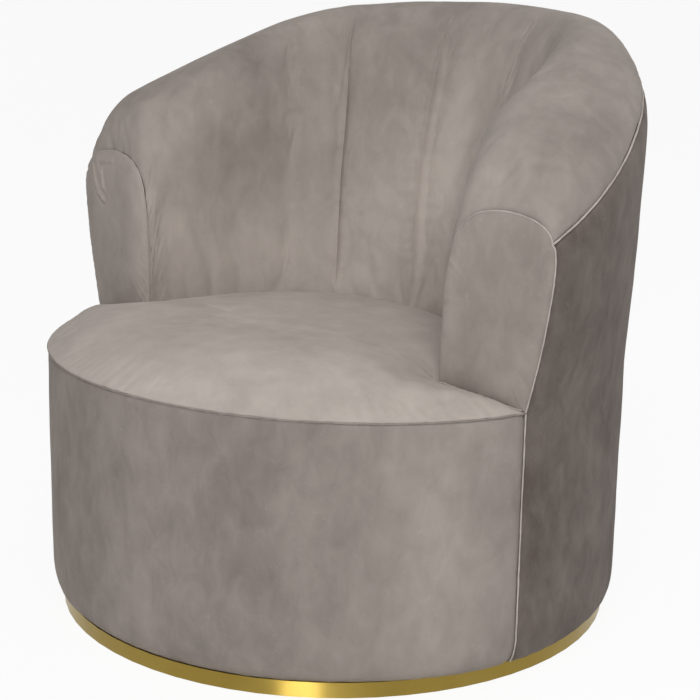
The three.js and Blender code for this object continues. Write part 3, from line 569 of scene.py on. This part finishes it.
# Painted light and shade: this level and these patches set how lit each place of the inside cover looks.
set_nap_and_painted_shading(inside_cover, 0.07, INSIDE_PATCHES_OF_PAINTED_SHADING)
finish_cloth(inside_cover)
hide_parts("inside_cover", "back_foam")
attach(inside_cover, "tub")
print("inside cover faces:", len(inside_cover.data.polygons))

# %% [markdown]
# ## Outside cover and front band
# Both are pulled tight over hardboard, so they are nearly plain. What makes them cloth is the edge:
# at each seam the velvet turns in over a few millimetres and gathers into little puckers, and at
# the bottom it turns under the drum.

# %% The two drum skins
TURN_IN = 0.0026
TURN_REACH = 0.0035
HEM_FOLD = 0.012


def edge_turn(distance):
    return TURN_IN * np.exp(-np.maximum(distance, 0) / TURN_REACH)


def drum_skin(name, angles, top_of, rows, seed):
    shares = np.linspace(0, 1, rows + 1) ** 0.9
    signed = np.where(angles > 180, angles - 360, angles)
    tops = top_of(signed)
    z = HEM_HEIGHT + (tops[:, None] - HEM_HEIGHT) * shares[None, :]
    grid_angles = np.repeat(signed[:, None], rows + 1, axis=1)
    points = outside_points(grid_angles, z)
    out = grid_normals(points)
    middle = len(angles) // 2
    if np.dot(out[middle, rows // 2, :2], points[middle, rows // 2, :2]) < 0:
        out = -out
    around, up = lengths(points, 0), lengths(points, 1)
    to_top = up[:, -1:] - up
    to_side = np.minimum(around, around[-1:] - around)
    move = -edge_turn(to_top) - edge_turn(to_side)
    move += 0.0010 * waves(points, 0.11, seed) + 0.0003 * waves(points, 0.03, seed + 1)
    move += 0.0009 * puckers(around, to_top, 0.010, 0.012, seed + 2)
    move += 0.0008 * puckers(up, to_side, 0.011, 0.010, seed + 3)
    move += 0.0007 * puckers(around, up, 0.014, 0.014, seed + 4)
    points = points + out * move[..., None]
    fold = points[:, :1].copy()
    inward = fold[..., :2] / np.linalg.norm(fold[..., :2], axis=-1, keepdims=True)
    fold[..., :2] -= inward * HEM_FOLD
    fold[..., 2] += 0.6 * MM
    piece = grid_object(name, np.concatenate([fold, points], axis=1))
    face_outwards(piece, Vector(points[middle, rows // 2] * (1.4, 1.4, 1)))
    return piece


def front_seam(angle):
    forward = np.maximum(0, -np.cos(np.radians(angle)))
    return SEAM_HEIGHT + SEAM_FRONT_RISE * forward ** 2


outer_angles = np.linspace(-ARM_ANGLE, ARM_ANGLE, 341)
outer_cover = drum_skin("velvet_outside", outer_angles, piping_height, 120, 20)
# Painted shade: the outside cover is set much darker, for the side that turns away from the key lamp.
set_nap_and_painted_shading(outer_cover, -0.32)
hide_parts("outer_cover")
front_angles = np.linspace(ARM_ANGLE, 360 - ARM_ANGLE, 261)
front_band = drum_skin("velvet_front_band", front_angles, front_seam, 76, 30)
# Painted light and shade: the front band is set a little darker, with a lighter patch on its side towards the key lamp.
set_nap_and_painted_shading(front_band, -0.09, [((0.33, -0.17, 0.2), (0.07, 0.10, 0.4), 0.15)])
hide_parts("front_band")
for piece in (outer_cover, front_band):
    finish_cloth(piece)
    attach(piece, "tub")
print("outside faces:", len(outer_cover.data.polygons), "front band faces:", len(front_band.data.polygons))

# %% [markdown]
# ## Seat
# The seat is a crowned cushion that fills the space between the wall and the front seam. Each point
# is pulled down by every stretch of the outline, the near ones most, which gives a smooth crown of
# any outline. Its cloth gathers into short folds behind the front seam.

# %% Seat outline
FRONT_POINTS = 230
INSIDE_POINTS = 170
SEAT_RINGS = 60
SEAT_GAP = 0.0006


def seat_outline():
    angles = np.linspace(ARM_ANGLE, 360 - ARM_ANGLE, FRONT_POINTS)
    signed = np.where(angles > 180, angles - 360, angles)
    front = outside_points(signed, np.full(len(angles), SEAM_HEIGHT))
    front[:, 1] = np.minimum(front[:, 1], arm_face(front[:, 0]) - SEAT_GAP)
    front[:, 2] = front_seam(angles) + 0.0016
    inner_angles = np.linspace(-ARM_ANGLE, ARM_ANGLE, INSIDE_POINTS)
    plan = inner_plan(inner_angles) * (1 - 0.0012)
    inner = np.column_stack([plan, np.full(len(plan), SEAT_EDGE_INSIDE)])
    inner[0, 1] = inner[-1, 1] = arm_face(INNER_HALF_WIDTH) - SEAT_GAP * 2
    steps = np.linspace(0, 1, 16)[1:-1, None]
    to_inner = front[-1] + (inner[0] - front[-1]) * steps
    to_front = inner[-1] + (front[0] - inner[-1]) * steps
    return np.vstack([front, to_inner, inner, to_front, front[:1]])


def seat_heights(outline, plan):
    start, end = outline[:-1], outline[1:]
    step = (end - start)[:, :2]
    size = np.linalg.norm(step, axis=1)
    weights, edges = np.zeros(len(plan)), np.zeros(len(plan))
    for a, b, d, length in zip(start, end, step, size):
        share = np.clip(((plan - a[:2]) @ d) / max(length * length, 1e-12), 0, 1)
        away = np.linalg.norm(plan - a[:2] - share[:, None] * d, axis=1)
        weight = length / np.maximum(away, 1e-4) ** 3
        weights += weight
        edges += weight * (a[2] + (b[2] - a[2]) * share)
    distance = np.sqrt(2 / weights)
    left = 1 - np.minimum(1, distance / CROWN_REACH)
    edge = edges / weights
    return edge + (SEAT_TOP - edge) * (1 - left ** CROWN_POWER), distance


# %% Seat cover
outline = seat_outline()
ring_shares = 1 - np.linspace(1, 0, SEAT_RINGS + 1) ** 1.7
centre = np.array([0, SEAT_CENTRE])
plan = centre + (outline[:, None, :2] - centre) * ring_shares[None, 1:, None]
heights, distance = seat_heights(outline, plan.reshape(-1, 2))
shape = plan.shape[:2]
seat = np.dstack([plan, heights.reshape(shape)])
distance = distance.reshape(shape)
seat[:, -1, 2] = outline[:, 2]
distance[:, -1] = 0
along = np.repeat(lengths(outline[:, None, :], 0)[:, 0][:, None], shape[1], axis=1)
is_front = (np.arange(len(outline)) < FRONT_POINTS)[:, None]
lift = 0.0014 * waves(seat, 0.10, 41) + 0.0005 * waves(seat, 0.035, 42)
lift += np.where(is_front, 0.0016, 0.0007) * puckers(along, distance, 0.012, 0.018, 43)
seat[..., 2] += lift * ease(distance, -0.004, 0.004)
tuck = seat[:, -1:].copy()
tuck[..., :2] = centre + (tuck[..., :2] - centre) * 0.988
tuck[..., 2] -= 5 * MM
middle = np.empty((len(outline), 1, 3))
middle[:] = (0, SEAT_CENTRE, SEAT_TOP + 0.0014 * float(noise.noise(Vector((0, 0, 41)))))
seat[-1] = seat[0]
tuck[-1] = tuck[0]
seat_cover = grid_object("velvet_seat", np.concatenate([middle, seat, tuck], axis=1), closed=True)
face_outwards(seat_cover, Vector((0, SEAT_CENTRE, 0.8)))
settle_seat = places_of(seat_cover)
sewn_seat = np.exp(-seat_heights(outline, settle_seat[:, :2])[1] / 0.010)
settle(seat_cover, sewn_seat, cap=0.005)
# Painted light: the seat is set much lighter than the wall, for its top that faces the light from above.
set_nap_and_painted_shading(seat_cover, 0.33)
finish_cloth(seat_cover)
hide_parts("seat_cover", "seat_foam")
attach(seat_cover, "tub")
print("seat faces:", len(seat_cover.data.polygons))

# %% [markdown]
# ## Arm fronts
# Each arm ends in a flat arched panel with a thin pad behind it. It is a low dome on the end of the
# wall, made in rings from its middle to its outline, and the outline is the end section of the wall
# itself, so that the panel and the wall always share one seam.

# %% One arm front, and its mirror image
PANEL_RINGS = 44
PANEL_BULGE = 0.011
PANEL_EDGE = 0.0024
PANEL_FOOT = SEAM_HEIGHT + 0.0025
PANEL_CREASES = [
    ([(-0.352, 0.538), (-0.326, 0.541)], 0.0028, 0.0020),
    ([(-0.371, 0.530), (-0.362, 0.508), (-0.354, 0.494), (-0.342, 0.486)], 0.0030, 0.0026),
    ([(-0.350, 0.525), (-0.344, 0.503)], 0.0026, 0.0018),
]


def panel_outline():
    wall = wall_points(ARM_ANGLE)[:-1]
    z = np.linspace(PANEL_FOOT, piping_height(ARM_ANGLE), 40)[:-1]
    outside = outside_points(np.full(len(z), float(ARM_ANGLE)), z)
    whole = np.vstack([outside, wall])
    corner_out, corner_in = whole[0], whole[-1].copy()
    corner_in[2] += 0.0025
    whole[-1] = corner_in
    foot = corner_in + (corner_out - corner_in) * np.linspace(0, 1, 24)[1:, None]
    loop = np.vstack([whole, foot])
    along = np.concatenate([[0], np.cumsum(np.linalg.norm(np.diff(loop, axis=0), axis=1))])
    steps = np.linspace(0, along[-1], 361)
    return np.column_stack([np.interp(steps, along, loop[:, k]) for k in range(3)])


def arm_panel(name, side):
    loop = panel_outline()
    middle = np.array([INNER_HALF_WIDTH + 0.58 * (DRUM_RADIUS - INNER_HALF_WIDTH), 0, 0.442])
    shares = np.linspace(0, 1, PANEL_RINGS + 1)
    points = middle + (loop[:, None, :] - middle) * shares[None, :, None]
    bulge = PANEL_EDGE + (PANEL_BULGE - PANEL_EDGE) * np.sqrt(1 - shares ** 4)
    reach = 0.075 * (1 - shares)
    along = np.repeat(lengths(loop[:, None, :], 0)[:, 0][:, None], len(shares), axis=1)
    away = np.repeat(reach[None, :], len(loop), axis=0)
    move = 0.0013 * puckers(along, away, 0.008, 0.012, 50 + side) + 0.0008 * waves(points, 0.05, 52 + side)
    for stroke, width, depth in PANEL_CREASES:
        if side < 0:
            turned = [(-x, -0.095, z) for x, z in stroke]
            flat = np.dstack([points[..., 0], np.full(points.shape[:2], -0.095), points[..., 2]])
            move -= crease(flat, turned, width, depth)
    move *= ease(away, -0.002, 0.004)
    points[..., 1] = arm_face(points[..., 0]) - bulge[None, :] - move
    rim = points[:, -1:].copy()
    rim[..., 1] = arm_face(rim[..., 0]) - 0.0004
    points = np.concatenate([points, rim], axis=1)
    points[..., 0] *= side
    points[-1] = points[0]
    piece = grid_object(name, points, closed=True)
    face_outwards(piece, Vector((side * 0.32, -0.6, 0.44)))
    # Painted light and shade: one arm front is set lighter than the other, and each is lighter near its inner edge and
    # darker near its outer edge.
    set_nap_and_painted_shading(piece, 0.04 if side > 0 else 0.09, [((side * 0.262, -0.10, 0.42), (0.02, 0.1, 0.14), 0.10), ((side * 0.38, -0.09, 0.42), (0.04, 0.1, 0.2), -0.08)])
    finish_cloth(piece, thickness=0.0012)
    return piece


for side, hand in ((1, "left"), (-1, "right")):
    panel = arm_panel(f"velvet_arm_front_{hand}", side)
    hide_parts(f"arm_panel_{hand}", f"arm_pad_{hand}")
    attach(panel, "tub")
    print(panel.name, "faces:", len(panel.data.polygons))

# %% [markdown]
# ## Piping and seam lines
# Where two skins meet, a narrow cord wrapped in the same velvet is sewn between them. It catches
# the light and draws the thin pale line that the eye reads as the chair's outline; all cords but
# the seat's also get a lighter tone of the velvet, a painted highlight on that line. Each cord is a
# poly curve with a round bevel, turned into a mesh, with a slight wander as sewn cord has.

# %% Piping
PIPING_RADIUS = 0.0012


def piping(name, points, radius, node=None, wander=0.0003):
    points = np.array(points)
    curve = bpy.data.curves.new(name, "CURVE")
    curve.dimensions = "3D"
    curve.bevel_depth = radius
    curve.bevel_resolution = 2
    curve.use_fill_caps = True
    spline = curve.splines.new("POLY")
    spline.points.add(len(points) - 1)
    for slot, point in zip(spline.points, points):
        drift = noise.noise_vector(Vector(point) * 60) * wander
        slot.co = (*(Vector(point) + drift), 1)
        slot.radius = 1 + 0.35 * noise.noise(Vector(point) * 130)
    piece = bpy.data.objects.new(name, curve)
    bpy.context.scene.collection.objects.link(piece)
    bpy.ops.object.select_all(action="DESELECT")
    piece.select_set(True)
    bpy.context.view_layer.objects.active = piece
    bpy.ops.object.convert(target="MESH")
    piece = bpy.context.object
    piece.data.polygons.foreach_set("use_smooth", [True] * len(piece.data.polygons))
    if node:
        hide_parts(node)
    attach(piece, "tub")
    return piece


rim_angles = np.linspace(-ARM_ANGLE, ARM_ANGLE, 400)
rim_line = outside_points(rim_angles, piping_height(rim_angles))
rim_line[:, :2] *= 1 + 0.0006 / DRUM_RADIUS
rim_piping = piping("piping_rim", rim_line, PIPING_RADIUS, "rim_piping")

seam_angles = np.linspace(ARM_ANGLE, 360 - ARM_ANGLE, 360)
seam_signed = np.where(seam_angles > 180, seam_angles - 360, seam_angles)
seam_line = outside_points(seam_signed, front_seam(seam_angles))
seam_line[:, 2] += 0.0004
seat_piping = piping("piping_seat", seam_line, PIPING_RADIUS * 0.7, "seat_piping")

arch_lines = []
for side, hand in ((1, "left"), (-1, "right")):
    loop = panel_outline()
    loop = loop[:int(np.argmax((loop[:, 0] < 0.32) & (loop[:, 2] < 0.505)))]
    loop[:, 1] = arm_face(loop[:, 0]) - 0.0012
    loop[:, 0] *= side
    arch_lines.append(piping(f"piping_arm_{hand}", loop, PIPING_RADIUS * (0.9 if side > 0 else 0.6)))

foot_lines = []
for side, hand in ((1, "left"), (-1, "right")):
    share = np.linspace(0.02, 0.98, 60)
    x = INNER_HALF_WIDTH + (outside_points(np.array([ARM_ANGLE * 1.0]), np.array([SEAM_HEIGHT]))[0, 0] - INNER_HALF_WIDTH) * share
    z = SEAT_EDGE_INSIDE + (SEAM_HEIGHT - SEAT_EDGE_INSIDE) * share + 0.0042
    line = np.column_stack([side * x, arm_face(x) - PANEL_EDGE - 0.0022, z])
    foot_lines.append(piping(f"piping_foot_{hand}", line, PIPING_RADIUS * 0.7))

side_lines = []
for side, hand in ((1, "left"), (-1, "right")):
    z = np.linspace(HEM_HEIGHT + 0.004, SEAM_HEIGHT, 120)
    line = outside_points(np.full(len(z), side * float(ARM_ANGLE)), z)
    side_lines.append(piping(f"piping_side_{hand}", line, PIPING_RADIUS * 0.8))
print("piping pieces:", 2 + len(arch_lines + foot_lines + side_lines))

# %% [markdown]
# ## Colours and the node helper
# A picture gives colours as sRGB hex values, while Blender's sockets want linear light, so one
# function turns one into the other. Another small function adds a node, sets it and links it.

# %% Colour and node helpers
def linear(hex_colour):
    def channel(value):
        return value / 12.92 if value <= 0.04045 else ((value + 0.055) / 1.055) ** 2.4

    parts = [int(hex_colour[k:k + 2], 16) / 255 for k in (1, 3, 5)]
    return (*[channel(part) for part in parts], 1)


def add_node(tree, kind, settings=None, links=None, **properties):
    node = tree.nodes.new(kind)
    for key, value in properties.items():
        setattr(node, key, value)
    for socket, value in (settings or {}).items():
        node.inputs[socket].default_value = value
    for socket, source in (links or {}).items():
        tree.links.new(source, node.inputs[socket])
    return node


def new_material(name):
    material = bpy.data.materials.new(name)
    material.use_nodes = True
    tree = material.node_tree
    tree.nodes.clear()
    shader = add_node(tree, "ShaderNodeBsdfPrincipled")
    output = add_node(tree, "ShaderNodeOutputMaterial")
    tree.links.new(shader.outputs["BSDF"], output.inputs["Surface"])
    return material, tree, shader


def per_metre(size_mm):
    """Texture scale that gives features of a real size."""
    return 1000 / size_mm


# %% [markdown]
# ## Crushed velvet
# Velvet is a short cut pile. Where a hand has brushed it, the pile leans and the same dye looks
# lighter or darker, so the cloth shows soft clouds and, here and there, a small bright fleck. The
# clouds are noise of 110 mm and 26 mm, the flecks are the peaks of a noise of 9 mm, and the pile
# itself, about 1 mm, goes to the bump. They are added to the nap level that each panel carries,
# which holds painted light and shade as well as the pile's tone, and the sum picks a tone between
# the darkest and the lightest look of the dye. A velvet has hardly any gloss: it is rough, and its
# sheen is the light caught by the tips of the pile.

# %% Velvet material
def velvet_material(name, dark, light, level=0.45, sheen=0.12):
    material, tree, shader = new_material(name)
    place = add_node(tree, "ShaderNodeTexCoord").outputs["Object"]
    upright = add_node(tree, "ShaderNodeMapping", {"Scale": (1, 1, 0.6)}, {"Vector": place}).outputs["Vector"]
    clouds = add_node(tree, "ShaderNodeTexNoise", {"Scale": per_metre(110), "Detail": 3, "Roughness": 0.5, "Distortion": 0.2}, {"Vector": upright})
    brushed = add_node(tree, "ShaderNodeTexNoise", {"Scale": per_metre(26), "Detail": 4, "Roughness": 0.6, "Distortion": 0.4}, {"Vector": upright})
    small = add_node(tree, "ShaderNodeTexNoise", {"Scale": per_metre(9), "Detail": 2, "Roughness": 0.5}, {"Vector": place})
    pile = add_node(tree, "ShaderNodeTexNoise", {"Scale": per_metre(1.1), "Detail": 2, "Roughness": 0.7}, {"Vector": place})
    # The nap attribute holds each panel's painted light and shade, with some of the pile's tone.
    nap_and_painted_shading = add_node(tree, "ShaderNodeAttribute", attribute_name="nap_and_painted_shading").outputs["Fac"]
    tone = add_node(tree, "ShaderNodeMath", {1: level}, {0: nap_and_painted_shading}, operation="ADD").outputs[0]
    for source, low, high, reach in ((clouds, 0.25, 0.75, 0.18), (brushed, 0.25, 0.75, 0.16), (pile, 0.2, 0.8, 0.05)):
        swing = add_node(tree, "ShaderNodeMapRange", {"From Min": low, "From Max": high, "To Min": -reach / 2, "To Max": reach / 2}, {"Value": source.outputs["Fac"]})
        tone = add_node(tree, "ShaderNodeMath", None, {0: tone, 1: swing.outputs["Result"]}, operation="ADD").outputs[0]
    flecks = add_node(tree, "ShaderNodeMapRange", {"From Min": 0.66, "From Max": 0.76, "To Min": 0, "To Max": 0.05}, {"Value": small.outputs["Fac"]})
    tone = add_node(tree, "ShaderNodeMath", None, {0: tone, 1: flecks.outputs["Result"]}, operation="ADD", use_clamp=True).outputs[0]
    dye = add_node(tree, "ShaderNodeMix", {"A": linear(dark), "B": linear(light)}, {"Factor": tone}, data_type="RGBA")
    tree.links.new(dye.outputs["Result"], shader.inputs["Base Color"])
    shader.inputs["Roughness"].default_value = 0.9
    shader.inputs["Specular IOR Level"].default_value = 0.2
    shader.inputs["Sheen Weight"].default_value = sheen
    shader.inputs["Sheen Roughness"].default_value = 0.5
    shader.inputs["Sheen Tint"].default_value = linear("#d8cfc8")
    bump = add_node(tree, "ShaderNodeBump", {"Strength": 0.2, "Distance": 0.0006}, {"Height": pile.outputs["Fac"]})
    soft = add_node(tree, "ShaderNodeBump", {"Strength": 0.3, "Distance": 0.0012}, {"Height": small.outputs["Fac"], "Normal": bump.outputs["Normal"]})
    tree.links.new(soft.outputs["Normal"], shader.inputs["Normal"])
    return material


velvet = velvet_material("crushed_velvet_taupe", "#4a403b", "#c4bab2")
# Painted highlight: the cords' velvet is set lighter than the skins, for the pale line they catch.
cord_velvet_painted_highlight = velvet_material("velvet_piping", "#4a403b", "#d6cdc6", level=0.62, sheen=0.3)

# %% [markdown]
# ## Gold-coloured band
# The band at the floor is a thin steel strip, rolled to a ring, plated and polished as it turns. The
# polish leaves hair-fine lines that run round it. They spread light up and down but hardly
# sideways, so a lamp shows in it as a sharp upright bar, while the rest of the band mirrors the
# floor in a plain gold. Principled calls this anisotropic: a tangent that runs round the band, turned
# by a quarter, says which way the light is spread. The gold tone is set darker than real plating:
# painted shade, for darker surroundings than the white floor that the band mirrors.

# %% Band material
def band_material():
    material, tree, shader = new_material("polished_gold_plated_steel")
    place = add_node(tree, "ShaderNodeTexCoord").outputs["Object"]
    smudge = add_node(tree, "ShaderNodeTexNoise", {"Scale": per_metre(45), "Detail": 3}, {"Vector": place})
    # Painted shade: both golds are darker than real plating, for darker surroundings in the mirror; the noise between
    # them is random tone.
    tone = add_node(tree, "ShaderNodeMix", {"A": linear("#8b7433"), "B": linear("#9d8845")}, {"Factor": smudge.outputs["Fac"]}, data_type="RGBA")
    tree.links.new(tone.outputs["Result"], shader.inputs["Base Color"])
    shader.inputs["Metallic"].default_value = 1
    rough = add_node(tree, "ShaderNodeMapRange", {"To Min": 0.27, "To Max": 0.33}, {"Value": smudge.outputs["Fac"]})
    tree.links.new(rough.outputs["Result"], shader.inputs["Roughness"])
    shader.inputs["Anisotropic"].default_value = 1
    shader.inputs["Anisotropic Rotation"].default_value = 0.25
    round_it = add_node(tree, "ShaderNodeTangent", direction_type="RADIAL", axis="Z")
    tree.links.new(round_it.outputs["Tangent"], shader.inputs["Tangent"])
    return material


# %% [markdown]
# ## Materials of the hidden frame
# The boards, springs and felt never show in use, but a model that is taken apart should still look
# right. Each is a common workshop material: raw plywood with its grain, brown hardboard, zinc
# plated plates, oiled spring wire, open foam, needled felt and a black lining cloth.

# %% Workshop materials
def grained_material(name, dark, light, grain_mm, stretch, roughness, metallic=0.0):
    material, tree, shader = new_material(name)
    place = add_node(tree, "ShaderNodeTexCoord").outputs["Object"]
    grain = add_node(tree, "ShaderNodeMapping", {"Scale": stretch}, {"Vector": place}).outputs["Vector"]
    pattern = add_node(tree, "ShaderNodeTexNoise", {"Scale": per_metre(grain_mm), "Detail": 6, "Roughness": 0.6}, {"Vector": grain})
    tone = add_node(tree, "ShaderNodeMix", {"A": linear(dark), "B": linear(light)}, {"Factor": pattern.outputs["Fac"]}, data_type="RGBA")
    tree.links.new(tone.outputs["Result"], shader.inputs["Base Color"])
    shader.inputs["Roughness"].default_value = roughness
    shader.inputs["Metallic"].default_value = metallic
    bump = add_node(tree, "ShaderNodeBump", {"Strength": 0.2, "Distance": 0.0004}, {"Height": pattern.outputs["Fac"]})
    tree.links.new(bump.outputs["Normal"], shader.inputs["Normal"])
    return material


slot_materials = {
    "velvet": velvet,
    "brass_ring": band_material(),
    "zinc_steel": grained_material("zinc_plated_steel", "#8d9094", "#b9bcc0", 14, (1, 1, 1), 0.38, 1.0),
    "spring_steel": grained_material("oiled_spring_wire", "#26272a", "#43454a", 9, (1, 1, 1), 0.42, 1.0),
    "plywood": grained_material("raw_plywood", "#b08d5f", "#d8bf95", 9, (1, 6, 14), 0.72),
    "hardboard": grained_material("raw_hardboard", "#5a4230", "#83644a", 2, (1, 1, 1), 0.85),
    "foam": grained_material("open_cell_foam", "#d5c9a8", "#efe6cc", 2, (1, 1, 1), 0.95),
    "felt": grained_material("needled_felt", "#3c3a39", "#67635f", 3, (1, 1, 1), 0.95),
    "lining": grained_material("non_woven_lining", "#141415", "#2c2c2e", 2, (1, 1, 1), 0.95),
}

# %% Give every piece its finish
def dress(piece, material):
    piece.data.materials.clear()
    piece.data.materials.append(material)


for entry in frame["record"]["subparts"]:
    dress(frame["nodes"][entry["node"]], slot_materials[entry["material_slot"]])
for piece in bpy.data.objects:
    if piece.name.startswith("velvet_"):
        dress(piece, velvet)
    if piece.name.startswith("piping_"):
        dress(piece, velvet if piece is seat_piping else cord_velvet_painted_highlight)

# %% [markdown]
# The band is made of flat facets, and a polished metal shows each of them. Its upright faces get
# the normals of a true circle, which makes it round to the light without moving a point.

# %% Round normals for the band
band_mesh = frame["nodes"]["base_ring"].data
round_normals = []
for face in band_mesh.polygons:
    for index in face.vertices:
        out = Vector((*band_mesh.vertices[index].co.xy, 0)).normalized()
        side = 1 if out.dot(face.normal) > 0 else -1
        round_normals.append(out * side if abs(face.normal.z) < 0.5 else face.normal.copy())
band_mesh.normals_split_custom_set(round_normals)

# %% [markdown]
# ## Floor, light and camera
# The chair stands on a plain pale floor. One large soft lamp above the camera does the modelling,
# the pale world fills the shadows, and a weak lamp behind the chair keeps its back from going black.
# A strip lamp that only shiny surfaces see gives the metal its bright bar. The floor is given back
# most of its own white to the camera's eye, so that it reads as white paper while it still holds a
# little of the chair's shadow.

# %% Floor
FLOOR_SIZE = 70
bpy.ops.object.select_all(action="DESELECT")
bpy.ops.mesh.primitive_plane_add(size=FLOOR_SIZE, location=(0, 0, 0))
floor = bpy.context.object
floor.name = "floor"
floor_material = bpy.data.materials.new("white_floor")
floor_material.use_nodes = True
tree = floor_material.node_tree
tree.nodes.clear()
matte = add_node(tree, "ShaderNodeBsdfDiffuse", {"Color": linear("#f2f2f2")})
glow = add_node(tree, "ShaderNodeEmission", {"Color": (1, 1, 1, 1), "Strength": 1.0})
path = add_node(tree, "ShaderNodeLightPath")
eye = add_node(tree, "ShaderNodeMath", None, {0: path.outputs["Is Camera Ray"], 1: path.outputs["Is Glossy Ray"]}, operation="MAXIMUM")
either = add_node(tree, "ShaderNodeMath", None, {0: eye.outputs[0], 1: path.outputs["Is Transmission Ray"]}, operation="MAXIMUM")
seen = add_node(tree, "ShaderNodeMath", {1: 0.92}, {0: either.outputs[0]}, operation="MULTIPLY")
mixed = add_node(tree, "ShaderNodeMixShader", None, {0: seen.outputs[0], 1: matte.outputs[0], 2: glow.outputs[0]})
output = add_node(tree, "ShaderNodeOutputMaterial")
tree.links.new(mixed.outputs[0], output.inputs["Surface"])
dress(floor, floor_material)

# %% World
world = bpy.data.worlds.new("soft_studio")
bpy.context.scene.world = world
world.use_nodes = True
tree = world.node_tree
tree.nodes.clear()
path = add_node(tree, "ShaderNodeLightPath")
either = add_node(tree, "ShaderNodeMath", None, {0: path.outputs["Is Camera Ray"], 1: path.outputs["Is Glossy Ray"]}, operation="MAXIMUM")
all_seen = add_node(tree, "ShaderNodeMath", None, {0: either.outputs[0], 1: path.outputs["Is Transmission Ray"]}, operation="MAXIMUM")
light = add_node(tree, "ShaderNodeBackground", {"Color": (1, 1, 1, 1), "Strength": 0.36})
backdrop = add_node(tree, "ShaderNodeBackground", {"Color": (1, 1, 1, 1), "Strength": 1.0})
mixed = add_node(tree, "ShaderNodeMixShader", None, {0: all_seen.outputs[0], 1: light.outputs[0], 2: backdrop.outputs[0]})
output = add_node(tree, "ShaderNodeOutputWorld")
tree.links.new(mixed.outputs[0], output.inputs["Surface"])


# %% Lamps
def soft_lamp(name, place, aim, size, power):
    data = bpy.data.lights.new(name, "AREA")
    data.shape = "DISK"
    data.size = size
    data.energy = power
    lamp = bpy.data.objects.new(name, data)
    bpy.context.scene.collection.objects.link(lamp)
    lamp.location = place
    lamp.rotation_euler = (Vector(aim) - Vector(place)).to_track_quat("-Z", "Y").to_euler()
    return lamp


soft_lamp("key_lamp", (1.53, -1.96, 2.03), (0, 0, 0.35), 1.8, 54)
soft_lamp("back_lamp", (0.6, 2.4, 2.1), (0, 0, 0.35), 1.8, 14)
strip = soft_lamp("strip_lamp", (1.035, -1.716, 0.58), (0, 0, 0.58), 0.48, 36)
strip.data.shape, strip.data.size_y = "RECTANGLE", 1.0
strip.visible_diffuse = False

# %% Camera
LENS, SENSOR = 87.43, 36
PITCH, TURN, ROLL = 0.2499, 0.7263, 0.0174
DISTANCE, AIM_SIDE, AIM_HEIGHT = 2.2058, 0.0173, 0.3207
back = Vector((math.sin(TURN) * math.cos(PITCH), -math.cos(TURN) * math.cos(PITCH), math.sin(PITCH)))
right = Vector((math.cos(TURN), math.sin(TURN), 0))
up = back.cross(right)
rolled_right = right * math.cos(ROLL) + up * math.sin(ROLL)
rolled_up = up * math.cos(ROLL) - right * math.sin(ROLL)
place = right * AIM_SIDE + Vector((0, 0, AIM_HEIGHT)) + back * DISTANCE
camera_data = bpy.data.cameras.new("camera")
camera_data.lens = LENS
camera_data.sensor_width = SENSOR
camera_data.clip_end = 60
camera = bpy.data.objects.new("camera", camera_data)
bpy.context.scene.collection.objects.link(camera)
camera.matrix_world = Matrix.Translation(place) @ Matrix((rolled_right, rolled_up, back)).transposed().to_4x4()
bpy.context.scene.camera = camera

# %% Plain view of colours
bpy.context.scene.view_settings.view_transform = "Standard"
